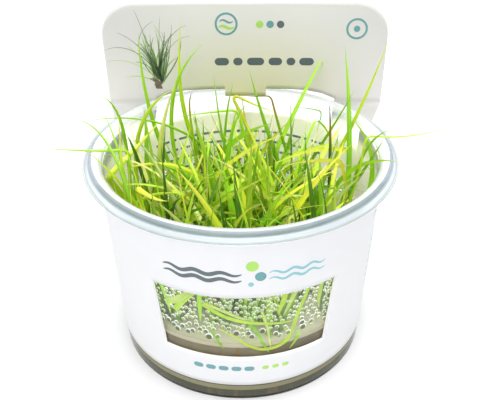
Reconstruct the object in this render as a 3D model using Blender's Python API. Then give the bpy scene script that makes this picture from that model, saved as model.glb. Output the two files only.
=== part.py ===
"""A clear tub of lab-grown rush on gel, in a card sleeve with a window and a raised header.

Blender 4.5, metres, +Z up. The tub stands on its base at the origin, the window faces -Y
and the header rises at the back, at +Y. Every length below is in millimetres until it is
put into a mesh, and every angle is in degrees.
"""

import math
import random

import bpy
import numpy as np

MM = 0.001

# Tub: (radius, height) from the middle of the underside, round the rim, to the middle inside.
TUB_SIDES = 60
TUB_WALL = 0.9
TUB_OUTSIDE = [(0, 0), (45.3, 0), (46.2, 0.7), (46.4, 6.7), (45.9, 7.3)]
RIM = [
    (48.2, 72.4), (48.6, 73.6), (52.8, 73.6), (53.1, 72.8), (54.0, 72.8), (54.0, 74.3),
    (53.6, 74.7), (52.9, 74.7), (52.3, 75.1), (50.9, 76.2), (50.0, 76.5), (49.0, 76.3),
    (48.0, 75.4), (47.4, 73.9), (47.3, 72.4),
]
TUB_INSIDE = [(45.0, 8.3), (45.3, 6.6), (45.3, 2.1), (44.5, 1.0), (0, 1.0)]

# Gel: the clear culture jelly that the plants root in.
GEL_TOP = 26.5
GAP = 0.3
GEL_FOOT = [(0, 1.3), (44.4, 1.3), (45.0, 2.2), (45.0, 6.5), (44.7, 8.3)]

# Sleeve: one card, wrapped round the tub, with a window in front and a header at the back.
CARD = 0.45
SLEEVE_BOTTOM = 8.1
SLEEVE_TOP = 72.1
SLEEVE_RADII = (46.7, 49.0)
BACK_TOP = 65.5
BACK_SLACK = 1.8
WINDOW_HEIGHTS = (22.0, 48.9)
WINDOW_HALF_ANGLES = (35.2, 38.2)
WINDOW_TURN = 1.4
CHEST = 58.0
LEG_START = 62.0
LEG_LOW = 68.0
LEG_HIGH = 70.8
LEG_STRAIGHT = 73.0
SLOT_SHOULDER = 73.6
HEADER_BACK = 46.0
HEADER_BOW = 2.0
HEADER_HALF_WIDTH = 53.45
HEADER_SHIFT = 1.5
HEADER_LOW = 79.0
HEADER_TOP = 112.0
HEADER_CORNER = 13.0
TAB_BOTTOM = 74.4
TAB_HALF_WIDTH = 8.0

# Half of the card's columns, from the middle of the front to the middle of the back. Each is
# (angle from the front, sideways place on the header or None, height of the slot's upper edge).
WINDOW_COLUMNS = 4
SIDE_ANGLES = (46, 54, 62, 70, 78, 86, 94, 102, 109)
LEG_COLUMNS = [
    (116.0, 53.45), (117.2, 52.5), (119.5, 50.5), (123.0, 47.5), (127.0, 44.0), (131.1, 40.0),
    (136.0, 35.3),
]
SLOT_COLUMNS = [
    (143.8, 30.0, 75.7), (151.8, 24.0, 76.9), (161.6, 16.0, 77.3), (170.9, 8.0, 77.4),
    (180.0, 0.0, 77.4),
]

# Leaves: a blade follows a line that starts at its root and leans, curls, turns and may fold.
ROOT_HEIGHT = GEL_TOP + GAP
BLADE_STEPS = 7
BLADE_THICKNESS = 0.6
CURL_POWER = 1.5
FOLD_SHARE = 0.06

# Each leaf: root x and y, heading of its lean (0 is +X, 90 is +Y), lean from upright at the
# root, curl added towards the tip, turn of the heading, length, width, twist of the blade and,
# on a folded leaf, the share of its length where it folds and the angle of the fold.
LEAVES = [
    (-20.5, 34.5, 193, 22, -26, 6, 81, 1.5, 80),
    (-5.5, 40, 183, 29, -45, 60, 85, 1.6, 50),
    (-19.5, 27.5, 138, 25, -74, 18, 82, 1.5, 110),
    (-28, 9.5, 172, 8, -33, 0, 70, 1.8, 100),
    (-36.5, 16, 151, 16, -78, -6, 77, 1.5, 110),
    (-37.5, -9, 181, 3, -19, 2, 81, 1.1, 110, 0.65, 98),
    (-35.5, -19.5, 92, -20, 128, 45, 83, 1.1, 150),
    (-1, 40, 227, 19, 76, -28, 91, 0.9, 110),
    (-37.5, -13, 85, -10, 58, 45, 69, 1.1, 160),
    (-39, 10, 128, 22, -77, -60, 76, 1.3, 30),
    (-38.5, -11, 266, 11, -30, 2, 69, 0.9, 10),
    (-35, 19.5, 261, 14, 32, 10, 68, 1.5, 20),
    (-36, 10.5, 237, 21, 17, -6, 72, 2.2, 50, 0.6, -102),
    (-17, 36.5, 243, 4, 51, 43, 76, 0.9, 0),
    (2, 12.5, 159, 14, -10, 0, 70, 0.9, 120),
    (-8, 35, 282, 4, 40, 2, 74, 0.9, 160),
    (8.5, 27, 181, 8, 15, -7, 75, 1.1, 110, 0.68, 80),
    (11.5, 38.5, 169, 10, 34, -13, 71, 1.6, 90, 0.72, -141),
    (28, 26.5, 198, 19, -5, 10, 73, 1.1, 80, 0.85, 66),
    (25.5, 22, 183, 21, -7, 0, 72, 1.5, 90),
    (-4.5, 11, 107, 11, -62, 9, 73, 1.1, 140),
    (-20.5, 31.5, 316, 19, 44, 4, 72, 2.2, 90),
    (40, 5, 87, 10, 23, 15, 78, 1.8, 160),
    (20.5, 20, 356, 25, -11, 6, 86, 1.3, 70),
    (12.5, 31.5, 326, 29, -5, -1, 72, 1.1, 100),
    (0.5, 23.5, 14, 21, 23, 35, 82, 1.6, 30, 0.9, 170),
    (12, 23.5, 21, 33, -29, 38, 78, 0.5, 80, 0.65, -79),
    (34, 17, 260, 11, 19, -5, 72, 1.1, 10),
    (20, 10.5, 223, 6, -78, 13, 74, 1.5, 160, 0.71, -85),
    (27, -3, 330, 25, -48, 48, 90, 0.7, 70, 0.66, 99),
    (40, 0.5, 102, 8, -69, 6, 76, 1.1, 130),
    (29.5, 14, 299, 12, 57, 2, 72, 1.6, 90, 0.5, 3),
    (32, 21, 302, 31, 3, -19, 71, 1.1, 130),
    (29.5, -4.5, 11, 41, -85, 2, 68, 0.9, 80),
    (36.5, 13, 54, 18, -42, -9, 85, 1.6, 120, 0.44, -65),
    (38, 0, 43, 5, -52, -13, 72, 1.6, 100, 0.63, -44),
    (-35.5, 8, 302, 42, 13, 45, 75, 2, 80),
    (-26.5, 26, 299, 49, -10, -2, 70, 1.1, 120),
    (-14.5, 29.5, 109, 2, -102, -20, 72, 1.8, 170),
    (9, 18, 275, 34, -2, -21, 71, 1.8, 20),
    (17.5, 1.5, 255, 30, 12, -4, 68, 1.3, 40),
    (2.5, 11, 267, 10, 57, 4, 67, 1.3, 0),
    (-7.5, 24.5, 233, 50, -5, 30, 61, 0.9, 60),
    (-27, 29.5, 259, 50, -4, 60, 72, 1.3, 110),
    (-24, -32, 128, 12, 53, -6, 73, 2, 30, 0.65, -125),
    (-35, -10.5, 114, 21, -41, 27, 66, 1.5, 80, 0.43, -54),
    (-7.5, -18.5, 233, 19, 20, -6, 58, 1.8, 70),
]
LEAF_TINTS = [(0.47, 0.66, 0.06), (0.33, 0.55, 0.05), (0.20, 0.38, 0.04)]

# Shoots of the crowd low in the tub: where each stands on the gel, how its leaves are drawn,
# as (least, most), and how often a leaf is drawn anew before the shoot is moved.
SHOOT_LEAVES = 4
SHOOT_LENGTHS = (26, 46)
SHOOT_WIDTHS = (1.1, 1.6)
SHOOT_FANS = (7, 12)
SHOOT_BOWS = (4, 16)
SHOOT_TURNS = (-15, 15)
SHOOT_NEAR = 4
DRAWS = 30
SHOOT_PLACES = [
    (-24, -22), (2, -33), (27, -22), (-8, -10), (16, -6), (-20, 14), (6, 16), (27, 14), (-4, 32),
]
FOOT_PITCH = 1.7
FOOT_DEPTH = 1.0
FOOT_HEIGHT = 3.0
CROWD_REACH = 44.0
WIDEST_OF_CROWD = 1.7
CROWD_SEED = 11
LEAF_ROOM = 0.4


def clear_scene():
    for old in list(bpy.data.objects):
        bpy.data.objects.remove(old, do_unlink=True)


def material(name, colour, roughness, transmission=0.0):
    made = bpy.data.materials.new(name)
    made.use_nodes = True
    shader = made.node_tree.nodes["Principled BSDF"]
    shader.inputs["Base Color"].default_value = (*colour, 1.0)
    shader.inputs["Roughness"].default_value = roughness
    shader.inputs["Metallic"].default_value = 0.0
    shader.inputs["Transmission Weight"].default_value = transmission
    made.diffuse_color = (*colour, 1.0)
    return made


def add_object(name, points, faces, surface):
    """Makes a mesh object from points in millimetres."""
    mesh = bpy.data.meshes.new(name)
    mesh.from_pydata([tuple(MM * value for value in point) for point in points], [], faces)
    mesh.validate()
    mesh.materials.append(surface)
    made = bpy.data.objects.new(name, mesh)
    bpy.context.scene.collection.objects.link(made)
    return made


def smooth_step(value):
    value = np.clip(value, 0.0, 1.0)
    return value * value * (3 - 2 * value)


def lathe(profile, sides):
    """Points and faces of a profile turned about Z, its first and last points on the axis."""
    points, faces = [(0, 0, profile[0][1])], []
    for radius, height in profile[1:-1]:
        for side in range(sides):
            angle = 2 * math.pi * side / sides
            points.append((radius * math.cos(angle), radius * math.sin(angle), height))
    points.append((0, 0, profile[-1][1]))
    last = len(points) - 1
    rings = len(profile) - 2
    for side in range(sides):
        following = (side + 1) % sides
        faces.append((0, 1 + following, 1 + side))
        for ring in range(rings - 1):
            low, high = 1 + ring * sides, 1 + (ring + 1) * sides
            faces.append((low + side, low + following, high + following, high + side))
        top = 1 + (rings - 1) * sides
        faces.append((top + side, top + following, last))
    return points, faces


def wall_radius(height):
    """Outer radius of the tub's tapered wall."""
    (low_radius, low), (high_radius, high) = TUB_OUTSIDE[-1], RIM[0]
    return low_radius + (high_radius - low_radius) * (height - low) / (high - low)


def add_tub(surface):
    profile = TUB_OUTSIDE + RIM + TUB_INSIDE
    return add_object("tub", *lathe(profile, TUB_SIDES), surface)


def add_gel(surface):
    top = wall_radius(GEL_TOP) - TUB_WALL - GAP
    profile = GEL_FOOT + [(top, GEL_TOP), (0, GEL_TOP)]
    return add_object("gel", *lathe(profile, TUB_SIDES), surface)


def sleeve_radius(height):
    share = (height - SLEEVE_BOTTOM) / (SLEEVE_TOP - SLEEVE_BOTTOM)
    return SLEEVE_RADII[0] + (SLEEVE_RADII[1] - SLEEVE_RADII[0]) * share


def wrap_point(angle, height):
    """A point of the wrapped card, at an angle from the front that is positive towards +X."""
    slack = BACK_SLACK * float(smooth_step((abs(angle) - 90) / 50)) * height / BACK_TOP
    radius = sleeve_radius(height) + slack
    turn = math.radians(angle)
    return radius * math.sin(turn), -radius * math.cos(turn), height


def header_point(side, across, height):
    back = HEADER_BACK - HEADER_BOW * (across / HEADER_HALF_WIDTH) ** 2
    return side * across + HEADER_SHIFT, back, height


def leg_point(side, angle, across, height):
    """Between the wrap and the flat header, the card swings out to pass behind the rim."""
    share = float(smooth_step((height - LEG_START) / (LEG_STRAIGHT - LEG_START)))
    low, high = wrap_point(side * angle, height), header_point(side, across, height)
    return tuple((1 - share) * a + share * b for a, b in zip(low, high))


def header_top(across):
    past = max(0.0, across - (HEADER_HALF_WIDTH - HEADER_CORNER))
    return HEADER_TOP - HEADER_CORNER + math.sqrt(max(0.0, HEADER_CORNER**2 - past**2))


def window_angle(share, height):
    """The window is a little narrower at its foot."""
    low, high = WINDOW_HALF_ANGLES
    rise = (height - WINDOW_HEIGHTS[0]) / (WINDOW_HEIGHTS[1] - WINDOW_HEIGHTS[0])
    return share * (low + (high - low) * min(1.0, max(0.0, rise)))


def card_columns():
    """Every column of the card, as (side, kind, angle or share, across, slot height)."""
    half = [("window", step / WINDOW_COLUMNS, None, None) for step in range(WINDOW_COLUMNS + 1)]
    half += [("side", angle, None, None) for angle in SIDE_ANGLES]
    half += [("leg", angle, across, None) for angle, across in LEG_COLUMNS]
    half += [("slot", angle, across, slot) for angle, across, slot in SLOT_COLUMNS]
    right = [(1, *column) for column in half]
    left = [(-1, *column) for column in reversed(half[1:-1])]
    return right + left


def column_points(column):
    """The points of one column from its foot up, by the name of their row."""
    side, kind, place, across, slot = column
    rows = {}
    for name, height in (
        ("foot", SLEEVE_BOTTOM), ("sill", WINDOW_HEIGHTS[0]), ("lintel", WINDOW_HEIGHTS[1]),
        ("chest", CHEST), ("neck", LEG_START), ("back", BACK_TOP),
    ):
        if kind == "window":
            angle = side * window_angle(place, height) + WINDOW_TURN
            rows[name] = wrap_point(angle, height)
        elif kind == "leg":
            rows[name] = leg_point(side, place, across, height)
        else:
            rows[name] = wrap_point(side * place, height)
    if kind == "window":
        rows["brim"] = wrap_point(side * window_angle(place, SLEEVE_TOP) + WINDOW_TURN, SLEEVE_TOP)
    elif kind == "side" or across == HEADER_HALF_WIDTH:
        rows["brim"] = wrap_point(side * place, SLEEVE_TOP)
    if kind == "leg":
        rows["leg_low"] = leg_point(side, place, across, LEG_LOW)
        rows["leg_high"] = leg_point(side, place, across, LEG_HIGH)
        rows["shoulder"] = leg_point(side, place, across, SLOT_SHOULDER)
    if kind == "slot":
        rows["shoulder"] = header_point(side, across, slot)
        if across <= TAB_HALF_WIDTH:
            rows["tab"] = header_point(side, across, TAB_BOTTOM)
    if across is not None:
        rows["header_low"] = header_point(side, across, HEADER_LOW)
        rows["header_middle"] = header_point(side, across, HEADER_TOP - HEADER_CORNER)
        if across < HEADER_HALF_WIDTH:
            rows["header_top"] = header_point(side, across, header_top(across))
    return rows


CARD_BANDS = [
    ("foot", "sill"), ("sill", "lintel"), ("lintel", "chest"), ("chest", "neck"),
    ("neck", "back"), ("back", "brim"), ("back", "leg_low"), ("leg_low", "leg_high"),
    ("leg_high", "shoulder"), ("tab", "shoulder"), ("shoulder", "header_low"),
    ("header_low", "header_middle"), ("header_middle", "header_top"),
]


def add_sleeve(surface):
    columns = card_columns()
    points, numbers = [], []
    for column in columns:
        rows = {}
        for name, point in column_points(column).items():
            rows[name] = len(points)
            points.append(point)
        numbers.append(rows)
    faces = []
    for here, column in enumerate(columns):
        following = (here + 1) % len(columns)
        ours, theirs = numbers[here], numbers[following]
        in_window = column[1] == "window" and columns[following][1] == "window"
        for low, high in CARD_BANDS:
            if in_window and low == "sill":
                continue
            corners = [ours.get(low), theirs.get(low), theirs.get(high), ours.get(high)]
            found = [corner for corner in corners if corner is not None]
            if len(found) == 4 or (len(found) == 3 and high == "header_top"):
                faces.append(found)
    sleeve = add_object("card_sleeve", points, faces, surface)
    thicken = sleeve.modifiers.new("card", "SOLIDIFY")
    thicken.thickness = CARD * MM
    thicken.offset = -1
    thicken.use_even_offset = True
    return sleeve


def leaf_line(leaf, shares):
    """Points, headings and leans of a leaf's middle line at the given shares of its length."""
    x, y, heading, lean, curl, turn, length = leaf[:7]
    fold_at, fold = leaf[9:] if len(leaf) > 9 else (0.5, 0.0)
    fine = np.linspace(0, 1, 97)
    tilt = lean + curl * fine**CURL_POWER
    tilt = np.radians(tilt + fold * smooth_step((fine - fold_at) / FOLD_SHARE + 0.5))
    way = np.radians(heading + turn * fine)
    ahead = np.stack([np.sin(tilt) * np.cos(way), np.sin(tilt) * np.sin(way), np.cos(tilt)], 1)
    steps = (ahead[1:] + ahead[:-1]) / 2 * length / (len(fine) - 1)
    line = np.vstack([[0, 0, 0], np.cumsum(steps, 0)]) + (x, y, ROOT_HEIGHT)
    pick = [np.interp(shares, fine, values) for values in (*line.T, way, tilt)]
    return np.stack(pick[:3], 1), pick[3], pick[4]


def blade_width(shares):
    """Share of the full width along a blade: a narrower foot and a long taper to the tip."""
    foot = 0.8 + 0.2 * smooth_step(shares / 0.25)
    return foot * (1 - 0.9 * np.clip((shares - 0.45) / 0.55, 0, 1) ** 1.6)


def blade_rings(leaf, shares):
    """Kite-shaped rings of four points along a leaf."""
    centres, way, tilt = leaf_line(leaf, shares)
    width, twist = leaf[7], math.radians(leaf[8])
    ahead = np.stack([np.sin(tilt) * np.cos(way), np.sin(tilt) * np.sin(way), np.cos(tilt)], 1)
    level = np.stack([-np.sin(way), np.cos(way), 0 * way], 1)
    across = math.cos(twist) * level + math.sin(twist) * np.cross(ahead, level)
    through = np.cross(ahead, across)
    share = blade_width(shares)[:, None]
    half_width, half_depth = width / 2 * share, BLADE_THICKNESS / 2 * (0.3 + 0.7 * share)
    rings = [half_width * across, half_depth * through]
    return np.stack([centres + rings[0], centres + rings[1], centres - rings[0],
                     centres - rings[1]], 1)


def leaf_shares(leaf):
    """Where a blade has its rings: evenly spread, and closer in a fold."""
    shares = np.linspace(0, 1, BLADE_STEPS + 1)
    if len(leaf) <= 9:
        return shares
    fold_at = leaf[9]
    near = np.array([fold_at - FOLD_SHARE / 2, fold_at, fold_at + FOLD_SHARE / 2])
    far = shares[np.abs(shares - fold_at) > FOLD_SHARE]
    return np.sort(np.concatenate([far, near]))


def ring_faces(start, rings, closed_foot):
    """Side faces between rings of four points, with a cap on the tip and perhaps the foot."""
    faces = [(start + 3, start + 2, start + 1, start)] if closed_foot else []
    for ring in range(rings - 1):
        low, high = start + 4 * ring, start + 4 * (ring + 1)
        for corner in range(4):
            after = (corner + 1) % 4
            faces.append((low + corner, low + after, high + after, high + corner))
    last = start + 4 * (rings - 1)
    return faces + [(last, last + 1, last + 2, last + 3)]


def add_leaf(name, leaf, surface):
    rings = blade_rings(leaf, leaf_shares(leaf))
    return add_object(name, rings.reshape(-1, 3), ring_faces(0, len(rings), True), surface)


def shoot_foot(shoot):
    """Rectangles side by side on the gel, one for each leaf of a shoot, from above."""
    x, y, axis, leaves = shoot
    turn = math.radians(axis)
    along = np.array([math.cos(turn), math.sin(turn), 0.0])
    aside = np.array([-math.sin(turn), math.cos(turn), 0.0])
    edges = []
    for place in range(len(leaves) + 1):
        middle = np.array([x, y, ROOT_HEIGHT]) + (place - len(leaves) / 2) * FOOT_PITCH * along
        edges += [middle - FOOT_DEPTH / 2 * aside, middle + FOOT_DEPTH / 2 * aside]
    return np.array(edges), along


def add_shoot(name, shoot, surface):
    """A shoot is one solid: a low foot whose top faces each run on into a blade."""
    leaves = shoot[3]
    low, _ = shoot_foot(shoot)
    high = low + (0, 0, FOOT_HEIGHT)
    count = len(low)
    points = [*low, *high]
    faces = [(1, 0, count, count + 1), (count - 2, count - 1, 2 * count - 1, 2 * count - 2)]
    for place, leaf in enumerate(leaves):
        near, far, past, beside = 2 * place, 2 * place + 2, 2 * place + 3, 2 * place + 1
        faces += [(near, beside, past, far), (near, far, count + far, count + near),
                  (past, beside, count + beside, count + past)]
        corners = [count + near, count + far, count + past, count + beside]
        rings = blade_rings(leaf, leaf_shares(leaf))[1:] + (0, 0, FOOT_HEIGHT)
        seat = np.array([points[corner] for corner in corners])
        roll = min(range(4), key=lambda n: np.abs(np.roll(rings[0], -n, 0) - seat).sum())
        rings = np.roll(rings, -roll, 1)
        start = len(points)
        points += list(rings.reshape(-1, 3))
        for corner in range(4):
            after = (corner + 1) % 4
            faces.append((corners[corner], corners[after], start + after, start + corner))
        faces += ring_faces(start, len(rings), False)
    return add_object(name, points, faces, surface)


def drawn_leaf(shoot_place, off, fan, bow, draw):
    """One leaf of a shoot's fan, off its middle by a number of places, leaning outwards."""
    x, y, axis = shoot_place
    turn = math.radians(axis)
    root = (x + off * FOOT_PITCH * math.cos(turn), y + off * FOOT_PITCH * math.sin(turn))
    heading = axis if off > 0 else axis + 180
    lean = 2 + fan * abs(off) + draw.uniform(-2, 2)
    curl = 3 + bow * abs(off) + draw.uniform(-4, 4)
    length, width = draw.uniform(*SHOOT_LENGTHS), draw.uniform(*SHOOT_WIDTHS)
    swing, twist = draw.uniform(*SHOOT_TURNS), draw.choice((0, 30, 60, 90))
    return (*root, heading, lean, curl, swing, length, width, twist)


def has_room(line, width, points, widths):
    """Whether a leaf's line stays in the tub and keeps clear of the points of the others."""
    if np.hypot(line[:, 0], line[:, 1]).max() > CROWD_REACH or line[:, 2].min() < ROOT_HEIGHT:
        return False
    apart = np.linalg.norm(line[:, None] - points[None], axis=2)
    return bool((apart > (width + widths) / 2 + LEAF_ROOM).all())


def grown_shoot(x, y, points, widths, draw):
    """Draws a shoot's leaves one by one, each anew until it has room, or gives up."""
    axis = draw.uniform(0, 180)
    fan, bow = draw.uniform(*SHOOT_FANS), draw.uniform(*SHOOT_BOWS)
    shares = np.linspace(0, 1, 25)
    leaves, lines = [], []
    for place in range(SHOOT_LEAVES):
        for _ in range(DRAWS):
            off = place - (SHOOT_LEAVES - 1) / 2
            leaf = drawn_leaf((x, y, axis), off, fan, bow, draw)
            line, width = leaf_line(leaf, shares)[0] + (0, 0, FOOT_HEIGHT), leaf[7]
            own = np.concatenate([other[5:] for other in lines]) if lines else line[:0]
            own_widths = np.full(len(own), width)
            if has_room(line, width, points, widths) and has_room(line[5:], width, own, own_widths):
                break
        else:
            return None
        leaves.append(leaf)
        lines.append(line)
    return (x, y, axis, leaves), np.concatenate(lines)


def grown_shoots(lines):
    """Stands each shoot of the crowd near its place, where its leaves clear all the others."""
    draw = random.Random(CROWD_SEED)
    points = np.concatenate([line for line, _ in lines])
    widths = np.concatenate([np.full(len(line), width) for line, width in lines])
    shoots = []
    for x, y in SHOOT_PLACES:
        grown = None
        while grown is None:
            near = (x + draw.uniform(-SHOOT_NEAR, SHOOT_NEAR), y + draw.uniform(-SHOOT_NEAR, SHOOT_NEAR))
            grown = grown_shoot(*near, points, widths, draw)
        shoots.append(grown[0])
        points = np.concatenate([points, grown[1]])
        widths = np.concatenate([widths, np.full(len(grown[1]), WIDEST_OF_CROWD)])
    return shoots


def build():
    clear_scene()
    add_tub(material("clear_plastic", (0.93, 0.95, 0.96), 0.08, 1.0))
    add_gel(material("gel", (0.62, 0.56, 0.40), 0.25, 0.3))
    add_sleeve(material("card", (0.93, 0.93, 0.94), 0.55))
    shares = np.linspace(0, 1, 33)
    others = []
    for number, leaf in enumerate(LEAVES, 1):
        tint = LEAF_TINTS[number % len(LEAF_TINTS)]
        name = f"leaf_{number:02d}"
        add_leaf(name, leaf, material(name, tint, 0.45))
        others.append((leaf_line(leaf, shares)[0], leaf[7]))
    for number, shoot in enumerate(grown_shoots(others), 1):
        name = f"shoot_{number}"
        add_shoot(name, shoot, material(name, LEAF_TINTS[number % len(LEAF_TINTS)], 0.45))


build()
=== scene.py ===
"""Creeping rush grown on gel in a clear tub, in a card sleeve with a window and a raised header.

The tub stands on the floor at the origin, its window towards -Y. Lengths are in millimetres
until they are put into a mesh, angles in degrees and colours in the usual 0 to 255.
"""

import math
import random

import bmesh
import bpy
import numpy as np
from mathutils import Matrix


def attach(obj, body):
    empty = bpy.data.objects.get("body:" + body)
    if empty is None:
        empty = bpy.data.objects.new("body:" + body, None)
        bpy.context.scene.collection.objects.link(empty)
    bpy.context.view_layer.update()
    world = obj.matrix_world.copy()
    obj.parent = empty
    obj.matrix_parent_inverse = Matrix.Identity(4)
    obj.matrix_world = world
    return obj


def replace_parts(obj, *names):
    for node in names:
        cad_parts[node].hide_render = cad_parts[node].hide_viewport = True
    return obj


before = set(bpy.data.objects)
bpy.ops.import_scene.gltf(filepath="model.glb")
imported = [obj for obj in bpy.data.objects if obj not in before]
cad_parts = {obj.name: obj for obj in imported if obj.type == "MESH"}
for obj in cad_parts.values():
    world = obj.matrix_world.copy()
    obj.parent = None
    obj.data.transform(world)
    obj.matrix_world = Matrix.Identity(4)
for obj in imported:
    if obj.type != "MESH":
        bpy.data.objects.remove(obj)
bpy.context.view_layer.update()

MM = 0.001

# Camera: place in metres, tilt and roll in degrees, and a lens with a small upward shift.
CAMERA_PLACE = (0.00306, -0.21705, 0.19326)
CAMERA_PITCH = 36.61
CAMERA_ROLL = -0.23
CAMERA_LENS = 51.08
CAMERA_SHIFT = 0.1

# Tub: (radius, height) from the middle of the underside, round the rim, to the middle inside.
TUB_SIDES = 200
TUB_WALL = 0.9
TUB_OUTSIDE = [(0, 0), (45.3, 0), (46.2, 0.7), (46.4, 6.7), (45.9, 7.3)]
RIM = [
    (48.2, 72.4), (48.4, 74.0), (49.0, 75.2), (49.9, 75.6), (50.9, 75.3), (52.0, 74.4),
    (52.9, 74.0), (53.1, 73.9), (53.2, 73.5), (54.0, 73.5), (54.0, 74.3), (53.6, 74.7),
    (52.6, 74.7), (51.8, 74.9), (51.4, 75.8), (50.8, 76.3), (50.0, 76.5), (49.0, 76.3),
    (48.0, 75.4), (47.4, 73.9), (47.3, 72.4),
]
TUB_INSIDE = [(45.0, 8.3), (45.3, 6.6), (45.3, 2.1), (44.5, 1.0), (0, 1.0)]
CORNER_SIZE = 0.35

# Rim's upper side: all above this line of (radius, height). Up to the bead's end it is whitish, a
# painted highlight; up to the slope's end it is grey, and past it frosted and paler grey, both
# greys painted shade.
RIM_MIDDLE = [
    (47.0, 73.5), (48.2, 74.7), (49.9, 76.0), (51.4, 75.0), (52.0, 74.6), (53.0, 74.3),
    (54.1, 73.6),
]
BEAD_END = 50.6
SLOPE_END = 52.1

# Gel: it overlaps the wall a little, which shows it as wet, and creeps up it in a meniscus.
GEL_SIDES = 120
GEL_TOP = 26.5
GAP = 0.3
GEL_OVERLAP = 0.06
GEL_FOOT = [(0, 0.9), (44.6, 0.9), (45.38, 2.0), (45.38, 6.6), (45.08, 8.3)]
GEL_DIP = 0.35
MENISCUS_RISE = 0.9
MENISCUS_REACH = 1.6

# Sleeve: the wrap, its window, the two legs that pass behind the rim, and the header.
CARD = 0.45
SLEEVE_BOTTOM = 8.1
SLEEVE_TOP = 72.1
SLEEVE_RADII = (46.7, 49.0)
BACK_TOP = 65.5
BACK_SLACK = 1.8
WINDOW_HEIGHTS = (22.0, 48.9)
WINDOW_HALF_ANGLES = (34.8, 37.8)
WINDOW_TURN = 1.8
LEG_START = 62.0
LEG_STRAIGHT = 73.0
HEADER_BACK = 46.0
HEADER_BOW = 2.0
HEADER_HALF_WIDTH = 53.45
HEADER_SHIFT = 1.5
HEADER_TOP = 112.0
HEADER_CORNER = 13.0
TAB_HALF_WIDTH = 8.0
TAB_BOTTOM = 74.4

# Legs: angle round the tub and place across the header, from the outer edge to the slot's end.
SLOT_END = 35.3
LEG_ANGLES = (116.0, 117.2, 119.5, 123.0, 127.0, 131.1, 136.0)
LEG_ACROSS = (53.45, 52.5, 50.5, 47.5, 44.0, 40.0, SLOT_END)

# Slot's upper edge: height at a place across.
SLOT_ACROSS = (0.0, 8.0, 16.0, 24.0, 30.0, SLOT_END)
SLOT_HEIGHTS = (77.4, 77.4, 77.3, 76.9, 75.7, 73.6)

# Back panel: place across at an angle off its middle, and the angles over which it swings out.
BACK_ANGLES = (0, 44, 64)
BACK_ACROSS = (0, SLOT_END, 53.4)
SWING_START = 36.2
SWING = 7.8

# Leaves: a blade follows a line that starts at its root and leans, curls, turns and may fold.
ROOT_HEIGHT = GEL_TOP + GAP
CURL_POWER = 1.5
FOLD_SHARE = 0.06

# Colours of a leaf at its foot, its middle and its tip.
TONES = {
    "bright": ((140, 184, 70), (180, 226, 44), (192, 230, 70)),
    "lime": ((156, 194, 76), (204, 234, 50), (214, 236, 84)),
    "pale": ((168, 202, 98), (220, 238, 120), (226, 242, 150)),
    "yellow": ((176, 198, 70), (228, 238, 70), (236, 242, 108)),
    "mid": ((116, 160, 62), (148, 204, 34), (172, 216, 56)),
    "dark": ((84, 128, 44), (90, 142, 34), (112, 172, 44)),
}
TINT_LIFT = 1.2
LIGHTEST = 0.95
LEAF_VARIETY = 0.14
CROWD_VARIETY = 0.8
LEAF_SEED = 3
ENDS = {"brown": (128, 74, 40), "black": (58, 36, 32), "orange": (216, 150, 48)}

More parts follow.
